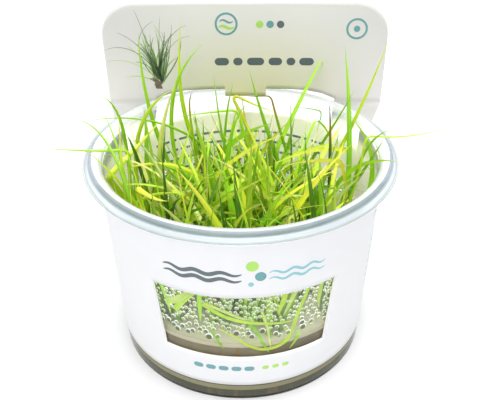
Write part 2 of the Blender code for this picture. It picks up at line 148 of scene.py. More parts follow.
# Each leaf: tone, end colour or None, root x and y, heading of its lean (0 is +X, 90 is +Y),
# lean from upright at the root, curl added towards the tip, turn of the heading, length, width,
# twist of the blade and, on a folded leaf, the share of its length where it folds and the angle.
LEAVES = [
    ("bright", None, -20.5, 34.5, 193, 22, -26, 6, 81, 1.5, 80),
    ("lime", None, -5.5, 40, 183, 29, -45, 60, 85, 1.6, 50),
    ("bright", None, -19.5, 27.5, 138, 25, -74, 18, 82, 1.5, 110),
    ("pale", None, -28, 9.5, 172, 8, -33, 0, 70, 1.8, 100),
    ("lime", None, -36.5, 16, 151, 16, -78, -6, 77, 1.5, 110),
    ("bright", None, -37.5, -9, 181, 3, -19, 2, 81, 1.1, 110, 0.65, 98),
    ("mid", None, -35.5, -19.5, 92, -20, 128, 45, 83, 1.1, 150),
    ("mid", None, -1, 40, 227, 19, 76, -28, 91, 0.9, 110),
    ("bright", None, -37.5, -13, 85, -10, 58, 45, 69, 1.1, 160),
    ("bright", None, -39, 10, 128, 22, -77, -60, 76, 1.3, 30),
    ("lime", None, -38.5, -11, 266, 11, -30, 2, 69, 0.9, 10),
    ("dark", None, -35, 19.5, 261, 14, 32, 10, 68, 1.5, 20),
    ("lime", None, -36, 10.5, 237, 21, 17, -6, 72, 2.2, 50, 0.6, -102),
    ("lime", "brown", -17, 36.5, 243, 4, 51, 43, 76, 0.9, 0),
    ("mid", None, 2, 12.5, 159, 14, -10, 0, 70, 0.9, 120),
    ("bright", None, -8, 35, 282, 4, 40, 2, 74, 0.9, 160),
    ("bright", None, 8.5, 27, 181, 8, 15, -7, 75, 1.1, 110, 0.68, 80),
    ("yellow", None, 11.5, 38.5, 169, 10, 34, -13, 71, 1.6, 90, 0.72, -141),
    ("mid", "brown", 28, 26.5, 198, 19, -5, 10, 73, 1.1, 80, 0.85, 66),
    ("mid", None, 25.5, 22, 183, 21, -7, 0, 72, 1.5, 90),
    ("bright", None, -4.5, 11, 107, 11, -62, 9, 73, 1.1, 140),
    ("bright", None, -20.5, 31.5, 316, 19, 44, 4, 72, 2.2, 90),
    ("mid", None, 40, 5, 87, 10, 23, 15, 78, 1.8, 160),
    ("lime", None, 20.5, 20, 356, 25, -11, 6, 86, 1.3, 70),
    ("mid", None, 12.5, 31.5, 326, 29, -5, -1, 72, 1.1, 100),
    ("bright", None, 0.5, 23.5, 14, 21, 23, 35, 82, 1.6, 30, 0.9, 170),
    ("bright", None, 12, 23.5, 21, 33, -29, 38, 78, 0.5, 80, 0.65, -79),
    ("dark", "black", 34, 17, 260, 11, 19, -5, 72, 1.1, 10),
    ("bright", None, 20, 10.5, 223, 6, -78, 13, 74, 1.5, 160, 0.71, -85),
    ("lime", None, 27, -3, 330, 25, -48, 48, 90, 0.7, 70, 0.66, 99),
    ("mid", None, 40, 0.5, 102, 8, -69, 6, 76, 1.1, 130),
    ("bright", None, 29.5, 14, 299, 12, 57, 2, 72, 1.6, 90, 0.5, 3),
    ("mid", None, 32, 21, 302, 31, 3, -19, 71, 1.1, 130),
    ("bright", None, 29.5, -4.5, 11, 41, -85, 2, 68, 1.9, 50),
    ("yellow", None, 36.5, 13, 54, 18, -42, -9, 85, 1.6, 120, 0.44, -65),
    ("yellow", None, 38, 0, 43, 5, -52, -13, 72, 1.6, 100, 0.63, -44),
    ("lime", None, -35.5, 8, 302, 42, 13, 45, 75, 2, 80),
    ("bright", None, -26.5, 26, 299, 49, -10, -2, 70, 1.1, 120),
    ("bright", None, -14.5, 29.5, 109, 2, -102, -20, 72, 1.8, 170),
    ("lime", None, 9, 18, 275, 34, -2, -21, 71, 1.8, 20),
    ("lime", None, 17.5, 1.5, 255, 30, 12, -4, 68, 1.3, 40),
    ("bright", None, 2.5, 11, 267, 10, 57, 4, 67, 1.3, 0),
    ("mid", None, -7.5, 24.5, 233, 50, -5, 30, 61, 0.9, 60),
    ("yellow", None, -27, 29.5, 259, 50, -4, 60, 72, 1.3, 110),
    ("yellow", None, -24, -32, 128, 12, 53, -6, 73, 2, 30, 0.65, -125),
    ("lime", None, -35, -10.5, 114, 21, -41, 27, 66, 1.5, 80, 0.43, -54),
    ("pale", None, -7.5, -18.5, 233, 19, 20, -6, 58, 1.8, 70),
]

# Shoots of the crowd low in the tub: the ranges of their leaves, and where each stands.
SHOOT_LEAVES = 4
SHOOT_LENGTHS = (26, 46)
SHOOT_WIDTHS = (1.1, 1.6)
SHOOT_FANS = (7, 12)
SHOOT_BOWS = (4, 16)
SHOOT_TURNS = (-15, 15)
SHOOT_NEAR = 4
SHOOT_TONES = ("dark", "mid", "bright")
SHOOT_SEED = 4
DRAWS = 30
SHOOT_PLACES = [
    (-24, -22), (2, -33), (27, -22), (-8, -10), (16, -6), (-20, 14), (6, 16), (27, 14), (-4, 32),
]
FOOT_PITCH = 1.7
FOOT_HEIGHT = 3.0
FOOT_POINTS = 5
CROWD_REACH = 44.0
WIDEST_OF_CROWD = 1.7
CROWD_SEED = 11
LEAF_ROOM = 0.4

# Undergrowth: tufts of narrow leaves between the drawn ones. Limits are a greatest length and
# width, and differ for tufts that stand further back.
UNDERGROWTH_SEED = 7
TUFTS = 66
TUFT_REACH = 41
TUFT_LEAVES = 7
TRIES_PER_LEAF = 6
TUFT_TONES = ("dark", "mid", "bright", "bright", "lime", "lime", "pale")
FRONT_TUFTS = 7
FRONT_TUFT_RADII = (34, 41)
FRONT_TUFT_SPREAD = 50
FRONT_TUFT_LIMITS = (68, 2.4)
BACK_TUFT_LIMITS = (52, 1.7)
BACK_TUFTS_FROM = 8

# Leaves of the front half that rise and bend over.
ARCHES = 40
ARCH_SEED = 12
ARCH_REACH = 34
ARCH_SHIFT = 8
ARCH_TONES = ("bright", "lime", "lime", "bright", "pale")

# Room for the undergrowth and the arches: a leaf's line is tested at these shares of its length.
# It keeps off the wall up to its top, and over the rim it may reach further.
LINE_SHARES = np.linspace(0, 1, 25)
WALL_TOP = 72
OVER_RIM = 78
REACH_OVER_RIM = 60
FURTHEST_BACK = 42.5
HIGHEST_TIP = 106

# Leaves lying against the inside of the window: tone, width, and their (angle, height) places.
# They lie in from the wall's outer face by the low distance in the gel, by the high one over it.
PRESSED_SEED = 9
PRESSED_RINGS = 48
PRESSED_SMOOTHING = 6
PRESSED_LOW = 0.5
PRESSED_HIGH = 1.5
PRESSED_LEAVES = [
    ("lime", 1.35, (29.2, 51), (27.4, 44.9), (25.8, 41.5), (23.4, 35.9), (22, 29.6), (17.7, 24.8),
     (9.6, 24.0), (5.2, 25.4), (-0.9, 29), (-5.8, 31.7), (-9.2, 33.3)),
    ("lime", 1.3, (-15.7, 43.3), (-11.7, 41.4), (-7.2, 39.2), (-2.4, 37.7), (2.9, 36.5),
     (9.5, 35.5), (18.1, 34.4), (24, 34.6)),
    ("pale", 1.2, (-15.3, 43.8), (-10.7, 42.8), (-5.9, 41.1), (-0.3, 38.6), (5.8, 37)),
    ("bright", 1.5, (-16.6, 50.5), (-16.6, 44.9), (-16.8, 40.5), (-16.9, 35.5)),
    ("pale", 2.3, (-33, 39.5), (-27.4, 42.5), (-22.4, 46.1), (-16.5, 51)),
    ("lime", 2.0, (-28.5, 37.5), (-24.1, 43.1), (-19.7, 47.3), (-13.5, 51.5)),
    ("lime", 1.7, (19.5, 51.5), (17.6, 45.4), (16.4, 42.2), (15.4, 38.7)),
    ("pale", 1.3, (25.5, 51.5), (21.4, 45.3), (19.5, 41.5), (17.6, 37.5)),
    ("mid", 1.0, (4.5, 35), (6, 32.9), (8.8, 27.4), (11.5, 22.7)),
    ("bright", 1.0, (25, 29), (23.4, 25.6), (20.7, 22.3)),
    ("mid", 0.9, (-12.3, 31.5), (-9.4, 27.8), (-7.4, 24.8)),
    ("pale", 0.9, (8.6, 40.8), (11.3, 32.3), (12.3, 25)),
    ("bright", 1.6, (-36, 50), (-33, 45), (-31.5, 40), (-31, 35)),
    ("lime", 1.6, (36.5, 51), (34.5, 46), (34, 41), (34.5, 36)),
]

# Blades: points round a section, as (place across, depth), both shares of their half sizes.
SECTION = np.array([
    (-1.0, 0.0), (-0.5, 0.6), (0.0, 0.8), (0.5, 0.6), (1.0, 0.0), (0.5, -0.9), (0.0, -1.0),
    (-0.5, -0.9),
])
BLADE_RINGS = 44
SHOOT_RINGS = 30
ARCH_RINGS = 34
TUFT_RINGS = 22
BLADE_HALF_DEPTH = 0.17
CHANNEL = 0.30
SHEATH_DEPTH = 1.6

# Print: ink stands this far off the card.
INK = 0.03
SLATE = (40, 66, 76)
TEAL = (66, 138, 144)
PALE_TEAL = (112, 180, 188)
GREY_TEAL = (84, 116, 120)
LIME_INK = (156, 206, 66)
TUFT_GREENS = ((88, 122, 62), (120, 160, 78), (84, 114, 84), (168, 204, 100))
TUFT_BROWNS = ((70, 48, 36), (104, 74, 60))
PRINT_SEED = 21

# Bars of the header's row: place along it, and length.
HEADER_BARS = ((2, 5.5), (8.2, 3.6), (15, 6.6), (22.6, 5.2), (28.6, 3.4), (34.6, 5.6))

# Drops of condensation on the inside of the wall. They are dense up to an angle in radians from
# the front, where they rise by the first height, and by the second elsewhere. The lowest few
# millimetres have coarse ones.
DROP_SEED = 5
DROP_TRIES = 9000
DROPS_DENSE_UP_TO = 0.8
DROP_LOWEST = 29.5
DROP_RISES = (24.0, 17.0)
COARSE_UP_TO = 8
DROP_SIZE = 0.5
DROP_SIZE_SPREAD = 0.25
COARSE_EXTRA = 0.75
SPARSE_SHARE = 0.25
WALL_ROUND = 46.0
DROP_SIDES = 10
DROP_RINGS = (0.72, 0.9, 1.0, 0.9, 0.72, 0.38)
DROP_BACK_RINGS = 3
DROP_DEPTH = 0.7
# Painted dark centres of the drops, standing in for the shaded view through the water.
DROP_PAINTED_CORE = (84, 90, 58)
SMALL_DROP_PAINTED_CORE = (150, 164, 104)

# Floor: half its side, and how far it lies under the tub.
FLOOR_HALF = 3000.0
FLOOR_DROP = 0.05


def linear(colour):
    """A colour of 0 to 255 as the linear light that shaders take."""
    share = np.asarray(colour, float) / 255
    return np.where(share <= 0.04045, share / 12.92, ((share + 0.055) / 1.055) ** 2.4)


def smooth_step(value):
    """The soft step v^2 (3 - 2 v) from 0 to 1."""
    value = np.clip(value, 0.0, 1.0)
    return value * value * (3 - 2 * value)


def add_piece(name, points, quads, surface, caps=(), tint=None, uv=None, sharp=None):
    """A mesh from points in millimetres, four-sided faces, and caps that are one face each."""
    mesh = bpy.data.meshes.new(name)
    loops = np.concatenate([np.ravel(quads), *caps]).astype(np.int32)
    counts = np.concatenate([np.full(len(quads), 4), [len(cap) for cap in caps]])
    starts = np.concatenate([[0], np.cumsum(counts)[:-1]]).astype(np.int32)
    mesh.vertices.add(len(points))
    mesh.vertices.foreach_set("co", np.ravel(points * MM).astype(np.float32))
    mesh.loops.add(len(loops))
    mesh.loops.foreach_set("vertex_index", loops)
    mesh.polygons.add(len(starts))
    mesh.polygons.foreach_set("loop_start", starts)
    mesh.update(calc_edges=True)
    if tint is not None:
        colours = np.concatenate([tint, np.ones((len(tint), 1))], 1)
        layer = mesh.color_attributes.new("tint", "FLOAT_COLOR", "POINT")
        layer.data.foreach_set("color", np.ravel(colours).astype(np.float32))
    if uv is not None:
        layer = mesh.uv_layers.new(name="UVMap")
        layer.data.foreach_set("uv", np.ravel(uv[loops]).astype(np.float32))
    mesh.validate()
    mesh.shade_smooth()
    if sharp is not None:
        mesh.set_sharp_from_angle(angle=math.radians(sharp))
    mesh.materials.append(surface)
    piece = bpy.data.objects.new(name, mesh)
    bpy.context.scene.collection.objects.link(piece)
    return piece


def grid_faces(rows, columns, round_columns=False):
    """Faces between neighbouring points of a grid whose points are numbered row by row."""
    row = np.arange(rows - 1)[:, None] * columns
    column = np.arange(columns if round_columns else columns - 1)[None]
    beside = (column + 1) % columns
    corners = [row + column, row + beside, row + columns + beside, row + columns + column]
    return np.stack(corners, -1).reshape(-1, 4)


def rounded(profile, size, steps):
    """The profile with each inner corner cut back by size and bridged by a parabola."""
    corners = np.array(profile, float)
    line = [corners[:1]]
    share = np.linspace(0, 1, steps + 1)[:, None]
    for before, corner, after in zip(corners, corners[1:], corners[2:]):
        back, ahead = before - corner, after - corner
        back *= min(size / np.linalg.norm(back), 0.45)
        ahead *= min(size / np.linalg.norm(ahead), 0.45)
        line.append(corner + back * (1 - share) ** 2 + ahead * share**2)
    return np.concatenate(line + [corners[-1:]])


def lathe(profile, sides):
    """A profile turned about Z: ring points (r cos a, r sin a, z), with a pole at both ends."""
    angle = 2 * np.pi * np.arange(sides) / sides
    radius, height = profile[1:-1].T
    ring = np.stack([np.outer(radius, np.cos(angle)), np.outer(radius, np.sin(angle)),
                     np.repeat(height[:, None], sides, 1)], -1)
    last = ring.shape[0] * sides
    caps = [np.arange(sides)[::-1], np.arange(last - sides, last)]
    return ring.reshape(-1, 3), grid_faces(len(radius), sides, round_columns=True), caps


# Materials

def new_material(name):
    made = bpy.data.materials.new(name)
    made.use_nodes = True
    return made, made.node_tree, made.node_tree.nodes["Principled BSDF"]


def fill(tree, made, inputs):
    """Gives a node's sockets their values: another node's socket is linked, the rest is set."""
    for socket, value in inputs.items():
        if isinstance(value, bpy.types.NodeSocket):
            tree.links.new(value, made.inputs[socket])
        else:
            made.inputs[socket].default_value = value


def node(tree, kind, **settings):
    """A new node, its fields set by name, and its sockets by name or number in 'inputs'."""
    made = tree.nodes.new(kind)
    fill(tree, made, settings.pop("inputs", {}))
    for field, value in settings.items():
        setattr(made, field, value)
    return made


def math_node(tree, operation, *values):
    inputs = dict(enumerate(values))
    return node(tree, "ShaderNodeMath", operation=operation, inputs=inputs).outputs[0]


def mixed(tree, share, first, second):
    """Colour between first and second, each a colour or a socket."""
    made = node(tree, "ShaderNodeMix", data_type="RGBA")
    fill(tree, made, {0: share, 6: first, 7: second})
    return made.outputs[2]


def shade(colour):
    return (*linear(colour), 1.0)


def object_coordinates(tree):
    return node(tree, "ShaderNodeTexCoord").outputs["Object"]


def split_axes(tree, vector):
    return node(tree, "ShaderNodeSeparateXYZ", inputs={0: vector}).outputs


def tint_attribute(tree):
    return node(tree, "ShaderNodeAttribute", attribute_name="tint").outputs["Color"]


def noise(tree, vector, scale, detail=3.0, roughness=0.55):
    """Noise with this many features to the metre."""
    inputs = {"Vector": vector, "Scale": scale, "Detail": detail, "Roughness": roughness}
    return node(tree, "ShaderNodeTexNoise", inputs=inputs).outputs["Fac"]


def spread(tree, value, low, high, to_low, to_high):
    """The value, with its range from low to high spread from to_low to to_high."""
    inputs = {0: value, 1: low, 2: high, 3: to_low, 4: to_high}
    return node(tree, "ShaderNodeMapRange", inputs=inputs).outputs[0]


def soft_roughness(tree, cloud, low, high):
    """Roughness that varies softly over the surface between low and high."""
    return spread(tree, cloud, 0.3, 0.7, low, high)


def bump(tree, shader, height, distance, strength):
    inputs = {"Height": height, "Distance": distance, "Strength": strength}
    made = node(tree, "ShaderNodeBump", inputs=inputs)
    fill(tree, shader, {"Normal": made.outputs["Normal"]})


def blend_shaders(tree, share, first, second):
    """Puts a mix of two shaders on the surface."""
    both = node(tree, "ShaderNodeMixShader",
                inputs={0: share, 1: first.outputs[0], 2: second.outputs[0]})
    fill(tree, tree.nodes["Material Output"], {"Surface": both.outputs[0]})


def grain_group():
    """Fine grain at a given scale: a height, and a share that varies softly across it."""
    group = bpy.data.node_groups.new("fine_grain", "ShaderNodeTree")
    face = group.interface
    face.new_socket(name="Vector", in_out="INPUT", socket_type="NodeSocketVector")
    face.new_socket(name="Scale", in_out="INPUT", socket_type="NodeSocketFloat")
    face.new_socket(name="Height", in_out="OUTPUT", socket_type="NodeSocketFloat")
    face.new_socket(name="Cloud", in_out="OUTPUT", socket_type="NodeSocketFloat")
    given = group.nodes.new("NodeGroupInput")
    out = group.nodes.new("NodeGroupOutput")
    vector, scale = given.outputs["Vector"], given.outputs["Scale"]
    fine = noise(group, vector, scale, 4.0, 0.6)
    wide = noise(group, vector, math_node(group, "MULTIPLY", scale, 0.05), 2.0)
    group.links.new(fine, out.inputs["Height"])
    group.links.new(wide, out.inputs["Cloud"])
    return group


def use_grain(tree, scale):
    made = tree.nodes.new("ShaderNodeGroup")
    made.node_tree = GRAIN
    tree.links.new(object_coordinates(tree), made.inputs["Vector"])
    made.inputs["Scale"].default_value = scale
    return made.outputs["Height"], made.outputs["Cloud"]


GRAIN = grain_group()


def let_lamps_through(tree, shader, tint):
    """Shadow rays pass, tinted, so that lamps light what stands behind the clear surface."""
    ray = node(tree, "ShaderNodeLightPath").outputs["Is Shadow Ray"]
    open_way = node(tree, "ShaderNodeBsdfTransparent", inputs={"Color": shade(tint)})
    blend_shaders(tree, ray, shader, open_way)


def clear_plastic(name, tint, rough, clearness):
    """Clear plastic with faint flow marks; the wall's tint is its own, the rim's tints are painted
    light.
    """
    made, tree, shader = new_material(name)
    height, cloud = use_grain(tree, 900.0)
    paler = tuple(value + 5 for value in tint)
    fill(tree, shader, {"Base Color": mixed(tree, cloud, shade(tint), shade(paler)),
                        "Roughness": soft_roughness(tree, cloud, rough, rough + 0.05),
                        "IOR": 1.34,
                        "Transmission Weight": clearness})
    bump(tree, shader, height, 0.00002, 0.3)
    let_lamps_through(tree, shader, paler)
    return made


def wet_gel():
    """Clear jelly: beige at its top, and darker olive with brown streaks lower down; the darkening
    downwards is painted shade.
    """
    made, tree, shader = new_material("culture_gel")
    height, cloud = use_grain(tree, 1400.0)
    place = object_coordinates(tree)
    split = split_axes(tree, place)
    tall = node(tree, "ShaderNodeMapping", inputs={0: place, 3: (1.0, 1.0, 0.06)}).outputs[0]
    streaks = spread(tree, noise(tree, tall, 240.0, 3.0), 0.54, 0.68, 0.0, 0.8)
    # Foot and band are painted shade: the gel is coloured darker the lower it lies in the sleeve.
    foot = mixed(tree, streaks, shade((92, 90, 72)), shade((128, 110, 78)))
    line = math_node(tree, "COMPARE", split[2], 0.0054, 0.0008)
    foot = mixed(tree, math_node(tree, "MULTIPLY", line, 0.85), foot, shade((176, 168, 126)))
    shaded_band = mixed(tree, spread(tree, cloud, 0.35, 0.65, 0.0, 1.0),
                 shade((124, 112, 88)), shade((146, 134, 104)))
    shaded_band = mixed(tree, streaks, shaded_band, shade((142, 112, 72)))
    top = mixed(tree, cloud, shade((206, 196, 166)), shade((226, 217, 188)))
    colour = mixed(tree, spread(tree, split[2], 0.008, 0.021, 0.0, 1.0), foot, shaded_band)
    colour = mixed(tree, spread(tree, split[2], 0.0252, 0.0257, 0.0, 1.0), colour, top)
    fill(tree, shader, {"Base Color": colour,
                        "Roughness": soft_roughness(tree, cloud, 0.05, 0.16),
                        "IOR": 1.34,
                        "Transmission Weight": 0.2})
    bump(tree, shader, height, 0.00005, 0.3)
    return made


def water():
    """Condensed water: the tint attribute holds each drop's painted light, a painted highlight
    crescent over a painted dark centre, and glows a little.
    """
    made, tree, shader = new_material("condensed_water")
    tint = tint_attribute(tree)
    cloud = use_grain(tree, 3000.0)[1]
    # Base colour and emission both take the tint: painted highlight crescents that glow, over
    # painted dark centres.
    fill(tree, shader, {"Base Color": tint,
                        "Roughness": soft_roughness(tree, cloud, 0.0, 0.03),
                        "Emission Color": tint,
                        "Emission Strength": 0.45,
                        "IOR": 1.33,
                        "Transmission Weight": 0.35})
    let_lamps_through(tree, shader, (250, 252, 252))
    return made


def card_outside():
    """White coated card with faint fibres."""
    made, tree, shader = new_material("card_outside")
    height, cloud = use_grain(tree, 2500.0)
    fill(tree, shader, {"Base Color": mixed(tree, cloud, shade((219, 219, 222)),
                                            shade((225, 225, 227))),
                        "Specular IOR Level": 0.2,
                        "Roughness": soft_roughness(tree, cloud, 0.38, 0.5)})
    bump(tree, shader, height, 0.00002, 0.4)
    return made


def card_inside():
    """The printed inner face: grey to olive on the header, with painted shade where the legs bend,
    and pale yellow behind the plants.

    The low part glows a little with the light that comes through the card.
    """
    made, tree, shader = new_material("card_inside")
    place = object_coordinates(tree)
    split = split_axes(tree, place)
    height, cloud = use_grain(tree, 2500.0)
    off_middle = math_node(tree, "ABSOLUTE", math_node(tree, "SUBTRACT", split[0], 0.004))
    sideways = spread(tree, off_middle, 0.008, 0.042, 1.0, 0.0)
    upwards = spread(tree, split[2], 0.076, 0.104, 1.0, 0.0)
    olive = math_node(tree, "MULTIPLY", sideways, upwards)
    middle = spread(tree, off_middle, 0.02, 0.05, 1.0, 0.0)
    header_grey = mixed(tree, middle, shade((204, 202, 201)), shade((218, 216, 213)))
    header_grey = mixed(tree, upwards, header_grey, shade((221, 218, 216)))
    header = mixed(tree, olive, header_grey, shade((225, 219, 186)))
    # Where the legs bend over to face up, the grey darkens: painted shade, so the bend doesn't
    # light up whiter than the upright leg.
    bend = spread(tree, split[2], 0.0715, 0.0745, 1.0, 0.0)
    header = mixed(tree, bend, header, shade((172, 171, 168)))
    lower = mixed(tree, cloud, shade((251, 243, 216)), shade((253, 247, 226)))
    rise = spread(tree, split[2], 0.0660, 0.0685, 0.0, 1.0)
    light_through = mixed(tree, rise, shade((255, 244, 212)), shade((0, 0, 0)))
    fill(tree, shader, {"Base Color": mixed(tree, rise, lower, header),
                        "Emission Color": light_through,
                        "Emission Strength": 0.16,
                        "Roughness": soft_roughness(tree, cloud, 0.4, 0.55)})
    bump(tree, shader, height, 0.00002, 0.4)
    return made


def card_edge():
    """The cut edge of the board, off-white and fibrous."""
    made, tree, shader = new_material("card_edge")
    height, cloud = use_grain(tree, 6000.0)
    fill(tree, shader, {"Base Color": mixed(tree, height, shade((232, 231, 226)),
                                            shade((249, 248, 245))),
                        "Roughness": soft_roughness(tree, cloud, 0.7, 0.85)})
    bump(tree, shader, height, 0.00003, 0.5)
    return made


def printing_ink():
    """Ink in the colour of the tint attribute, thinner in places."""
    made, tree, shader = new_material("printing_ink")
    height, cloud = use_grain(tree, 4000.0)
    worn = math_node(tree, "MULTIPLY", height, 0.16)
    fill(tree, shader, {"Base Color": mixed(tree, worn, tint_attribute(tree),
                                            shade((250, 250, 250))),
                        "Roughness": soft_roughness(tree, cloud, 0.3, 0.45)})
    return made


def leaf_skin():
    """Fresh leaf: the tint attribute with fine long veins, a pale midrib and soft mottling."""
    made, tree, shader = new_material("rush_leaf")
    tint = tint_attribute(tree)
    uv = node(tree, "ShaderNodeUVMap", uv_map="UVMap").outputs["UV"]
    across, along = split_axes(tree, uv)[:2]
    veins = math_node(tree, "SINE", math_node(tree, "MULTIPLY", across, 44.0))
    from_middle = math_node(tree, "ABSOLUTE", math_node(tree, "SUBTRACT", across, 0.5))
    midrib = spread(tree, from_middle, 0.0, 0.12, 1.0, 0.0)
    mottle = noise(tree, object_coordinates(tree), 260.0, 4.0)
    cells = node(tree, "ShaderNodeCombineXYZ", inputs={0: math_node(tree, "MULTIPLY", across, 9.0),
                                                       1: math_node(tree, "MULTIPLY", along, 3.0)})
    streaks = noise(tree, cells.outputs[0], 6.0, 2.0)
    darker = mixed(tree, 0.38, tint, shade((20, 44, 8)))
    colour = mixed(tree, spread(tree, mottle, 0.35, 0.7, 0.0, 0.36), tint, darker)
    colour = mixed(tree, spread(tree, streaks, 0.45, 0.7, 0.0, 0.28), colour, darker)
    colour = mixed(tree, spread(tree, veins, -1.0, 1.0, 0.0, 0.16), colour, darker)
    paler = mixed(tree, 0.3, tint, shade((236, 240, 170)))
    colour = mixed(tree, math_node(tree, "MULTIPLY", midrib, 0.45), colour, paler)
    fill(tree, shader, {"Base Color": colour,
                        "Roughness": soft_roughness(tree, mottle, 0.3, 0.5)})
    bump(tree, shader, math_node(tree, "MULTIPLY_ADD", midrib, -2.0, veins), 0.00003, 0.5)
    glow = node(tree, "ShaderNodeBsdfTranslucent", inputs={"Color": tint})
    blend_shaders(tree, 0.36, shader, glow)
    return made


# Tub and gel

def wall_radius(height):
    """Outer radius of the tub's tapered wall."""
    (low_radius, low), (high_radius, high) = TUB_OUTSIDE[-1], RIM[0]
    return low_radius + (high_radius - low_radius) * (height - low) / (high - low)


def make_tub():
    """The tub's profile, its corners rounded, turned about Z."""
    profile = rounded(TUB_OUTSIDE + RIM + TUB_INSIDE, CORNER_SIZE, 3)
    points, quads, caps = lathe(profile, TUB_SIDES)
    # The bead's whitish tint is a painted highlight; the grey tints of slope and lip are painted
    # shade for the card seen in shadow through the flange.
    looks = [clear_plastic("clear_wall", (246, 250, 249), 0.02, 1.0),
             clear_plastic("bead_painted_highlight", (228, 230, 230), 0.15, 0.5),
             clear_plastic("slope_painted_shade", (146, 157, 168), 0.2, 0.45),
             clear_plastic("lip_painted_shade", (184, 192, 193), 0.2, 0.5)]
    tub = add_piece("tub_clear", points, quads, looks[0], caps, sharp=50)
    for look in looks[1:]:
        tub.data.materials.append(look)
    radius, height = np.hypot(points[:, 0], points[:, 1])[quads], points[:, 2][quads]
    middle = radius.mean(1)
    on_top = height.mean(1) > np.interp(middle, *zip(*RIM_MIDDLE))
    zone = np.where(middle < BEAD_END, 1, np.where(middle < SLOPE_END, 2, 3))
    looks_of_faces = np.zeros(len(tub.data.polygons), np.int32)
    looks_of_faces[:len(quads)] = np.where(on_top, zone, 0)
    tub.data.polygons.foreach_set("material_index", looks_of_faces)
    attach(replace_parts(tub, "tub"), "root")


def make_gel():
    """Gel whose top rises by rise exp(-gap to the wall / reach) and is a little wavy."""
    edge = wall_radius(GEL_TOP) - TUB_WALL + GEL_OVERLAP
    radii = edge - np.concatenate([[0, 0.3, 0.8, 1.5, 2.6, 4.5], np.linspace(7, edge - 1, 12)])
    heights = GEL_TOP - GEL_DIP + MENISCUS_RISE * np.exp(-(edge - radii) / MENISCUS_REACH)
    profile = np.concatenate([GEL_FOOT, np.stack([radii, heights], 1), [(0, GEL_TOP)]])
    points, quads, caps = lathe(profile, GEL_SIDES)
    x, y, z = points.T
    waves = 0.18 * np.sin(x / 5.1 + 0.7) * np.cos(y / 6.3) + 0.09 * np.sin((x + 2 * y) / 3.7)
    waves = waves * smooth_step((edge - np.hypot(x, y)) / 4)
    points[:, 2] = z + np.where(z > GEL_TOP - 0.5, waves, 0)
    gel = add_piece("gel_bed", points, quads, wet_gel(), caps, sharp=50)
    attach(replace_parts(gel, "gel"), "root")


# Card sleeve

def wrap_point(angle, height):
    """A point of the wrapped card, at an angle from the front that is positive towards +X."""
    angle, height = np.broadcast_arrays(angle, height)
    slack = BACK_SLACK * smooth_step((np.abs(angle) - 90) / 50) * height / BACK_TOP
    share = (height - SLEEVE_BOTTOM) / (SLEEVE_TOP - SLEEVE_BOTTOM)
    radius = SLEEVE_RADII[0] + (SLEEVE_RADII[1] - SLEEVE_RADII[0]) * share + slack
    turn = np.radians(angle)
    return np.stack([radius * np.sin(turn), -radius * np.cos(turn), height], -1)


def header_point(across, height):
    """The header is upright and bowed: y = back - bow (across / half width)^2."""
    across, height = np.broadcast_arrays(across, height)
    back = HEADER_BACK - HEADER_BOW * (across / HEADER_HALF_WIDTH) ** 2
    return np.stack([across + HEADER_SHIFT, back, height], -1)


def leg_point(angle, across, height):
    """Between the wrap and the header, the card swings out to pass behind the rim."""
    share = smooth_step((height - LEG_START) / (LEG_STRAIGHT - LEG_START))[..., None]
    return (1 - share) * wrap_point(angle, height) + share * header_point(across, height)


def header_top(across):
    past = np.clip(np.abs(across) - (HEADER_HALF_WIDTH - HEADER_CORNER), 0, HEADER_CORNER)
    return HEADER_TOP - HEADER_CORNER + np.sqrt(HEADER_CORNER**2 - past**2)


def window_angle(height):
    """Half-angle of the window, a little narrower at its foot."""
    rise = (height - WINDOW_HEIGHTS[0]) / (WINDOW_HEIGHTS[1] - WINDOW_HEIGHTS[0])
    low, high = WINDOW_HALF_ANGLES
    return low + (high - low) * np.clip(rise, 0, 1)


def card_rows(top, count):
    """Heights of the card's rows, which keep to the window's sill and lintel, up to a top."""
    return np.concatenate([np.linspace(SLEEVE_BOTTOM, WINDOW_HEIGHTS[0], 8)[:-1],
                           np.linspace(*WINDOW_HEIGHTS, 13)[:-1],
                           np.linspace(WINDOW_HEIGHTS[1], LEG_START, 8)[:-1],
                           np.linspace(LEG_START, top, count)])


def front_grid():
    """Front and sides: columns keep to the window's edges, and its faces are left out."""
    middle, sides = np.linspace(-1, 1, 33), np.linspace(0, 1, 37)[1:]
    heights = card_rows(SLEEVE_TOP, 6)
    edge = window_angle(heights)[None]
    right = edge + WINDOW_TURN + (LEG_ANGLES[0] - edge - WINDOW_TURN) * sides[:, None]
    left = -edge + WINDOW_TURN + (-LEG_ANGLES[0] + edge - WINDOW_TURN) * sides[::-1, None]
    angles = np.concatenate([left, middle[:, None] * edge + WINDOW_TURN, right])
    quads = grid_faces(len(angles), len(heights))
    row, column = quads[:, 0] // len(heights), quads[:, 0] % len(heights)
    in_columns = (row >= len(sides)) & (row < len(sides) + len(middle) - 1)
    in_rows = (heights[column] >= WINDOW_HEIGHTS[0]) & (heights[column] < WINDOW_HEIGHTS[1])
    return wrap_point(angles, heights[None]), quads[~(in_columns & in_rows)]


def leg_grid(side):
    """One leg and the end of the header above it, from the outer edge inwards."""
    given = np.linspace(0, 1, len(LEG_ACROSS))
    across = np.interp(np.linspace(0, 1, 31), given, LEG_ACROSS)
    angle = np.interp(-across, [-value for value in LEG_ACROSS], LEG_ANGLES)
    slot = SLOT_HEIGHTS[-1]
    lower = np.repeat(card_rows(slot, 13)[None], len(across), 0)
    upper = slot + np.linspace(0, 1, 21)[None, 1:] * (header_top(across) - slot)[:, None]
    heights = np.concatenate([lower, upper], 1)
    points = leg_point(side * angle[:, None], side * across[:, None], heights)
    return points if side > 0 else points[::-1], grid_faces(*heights.shape)


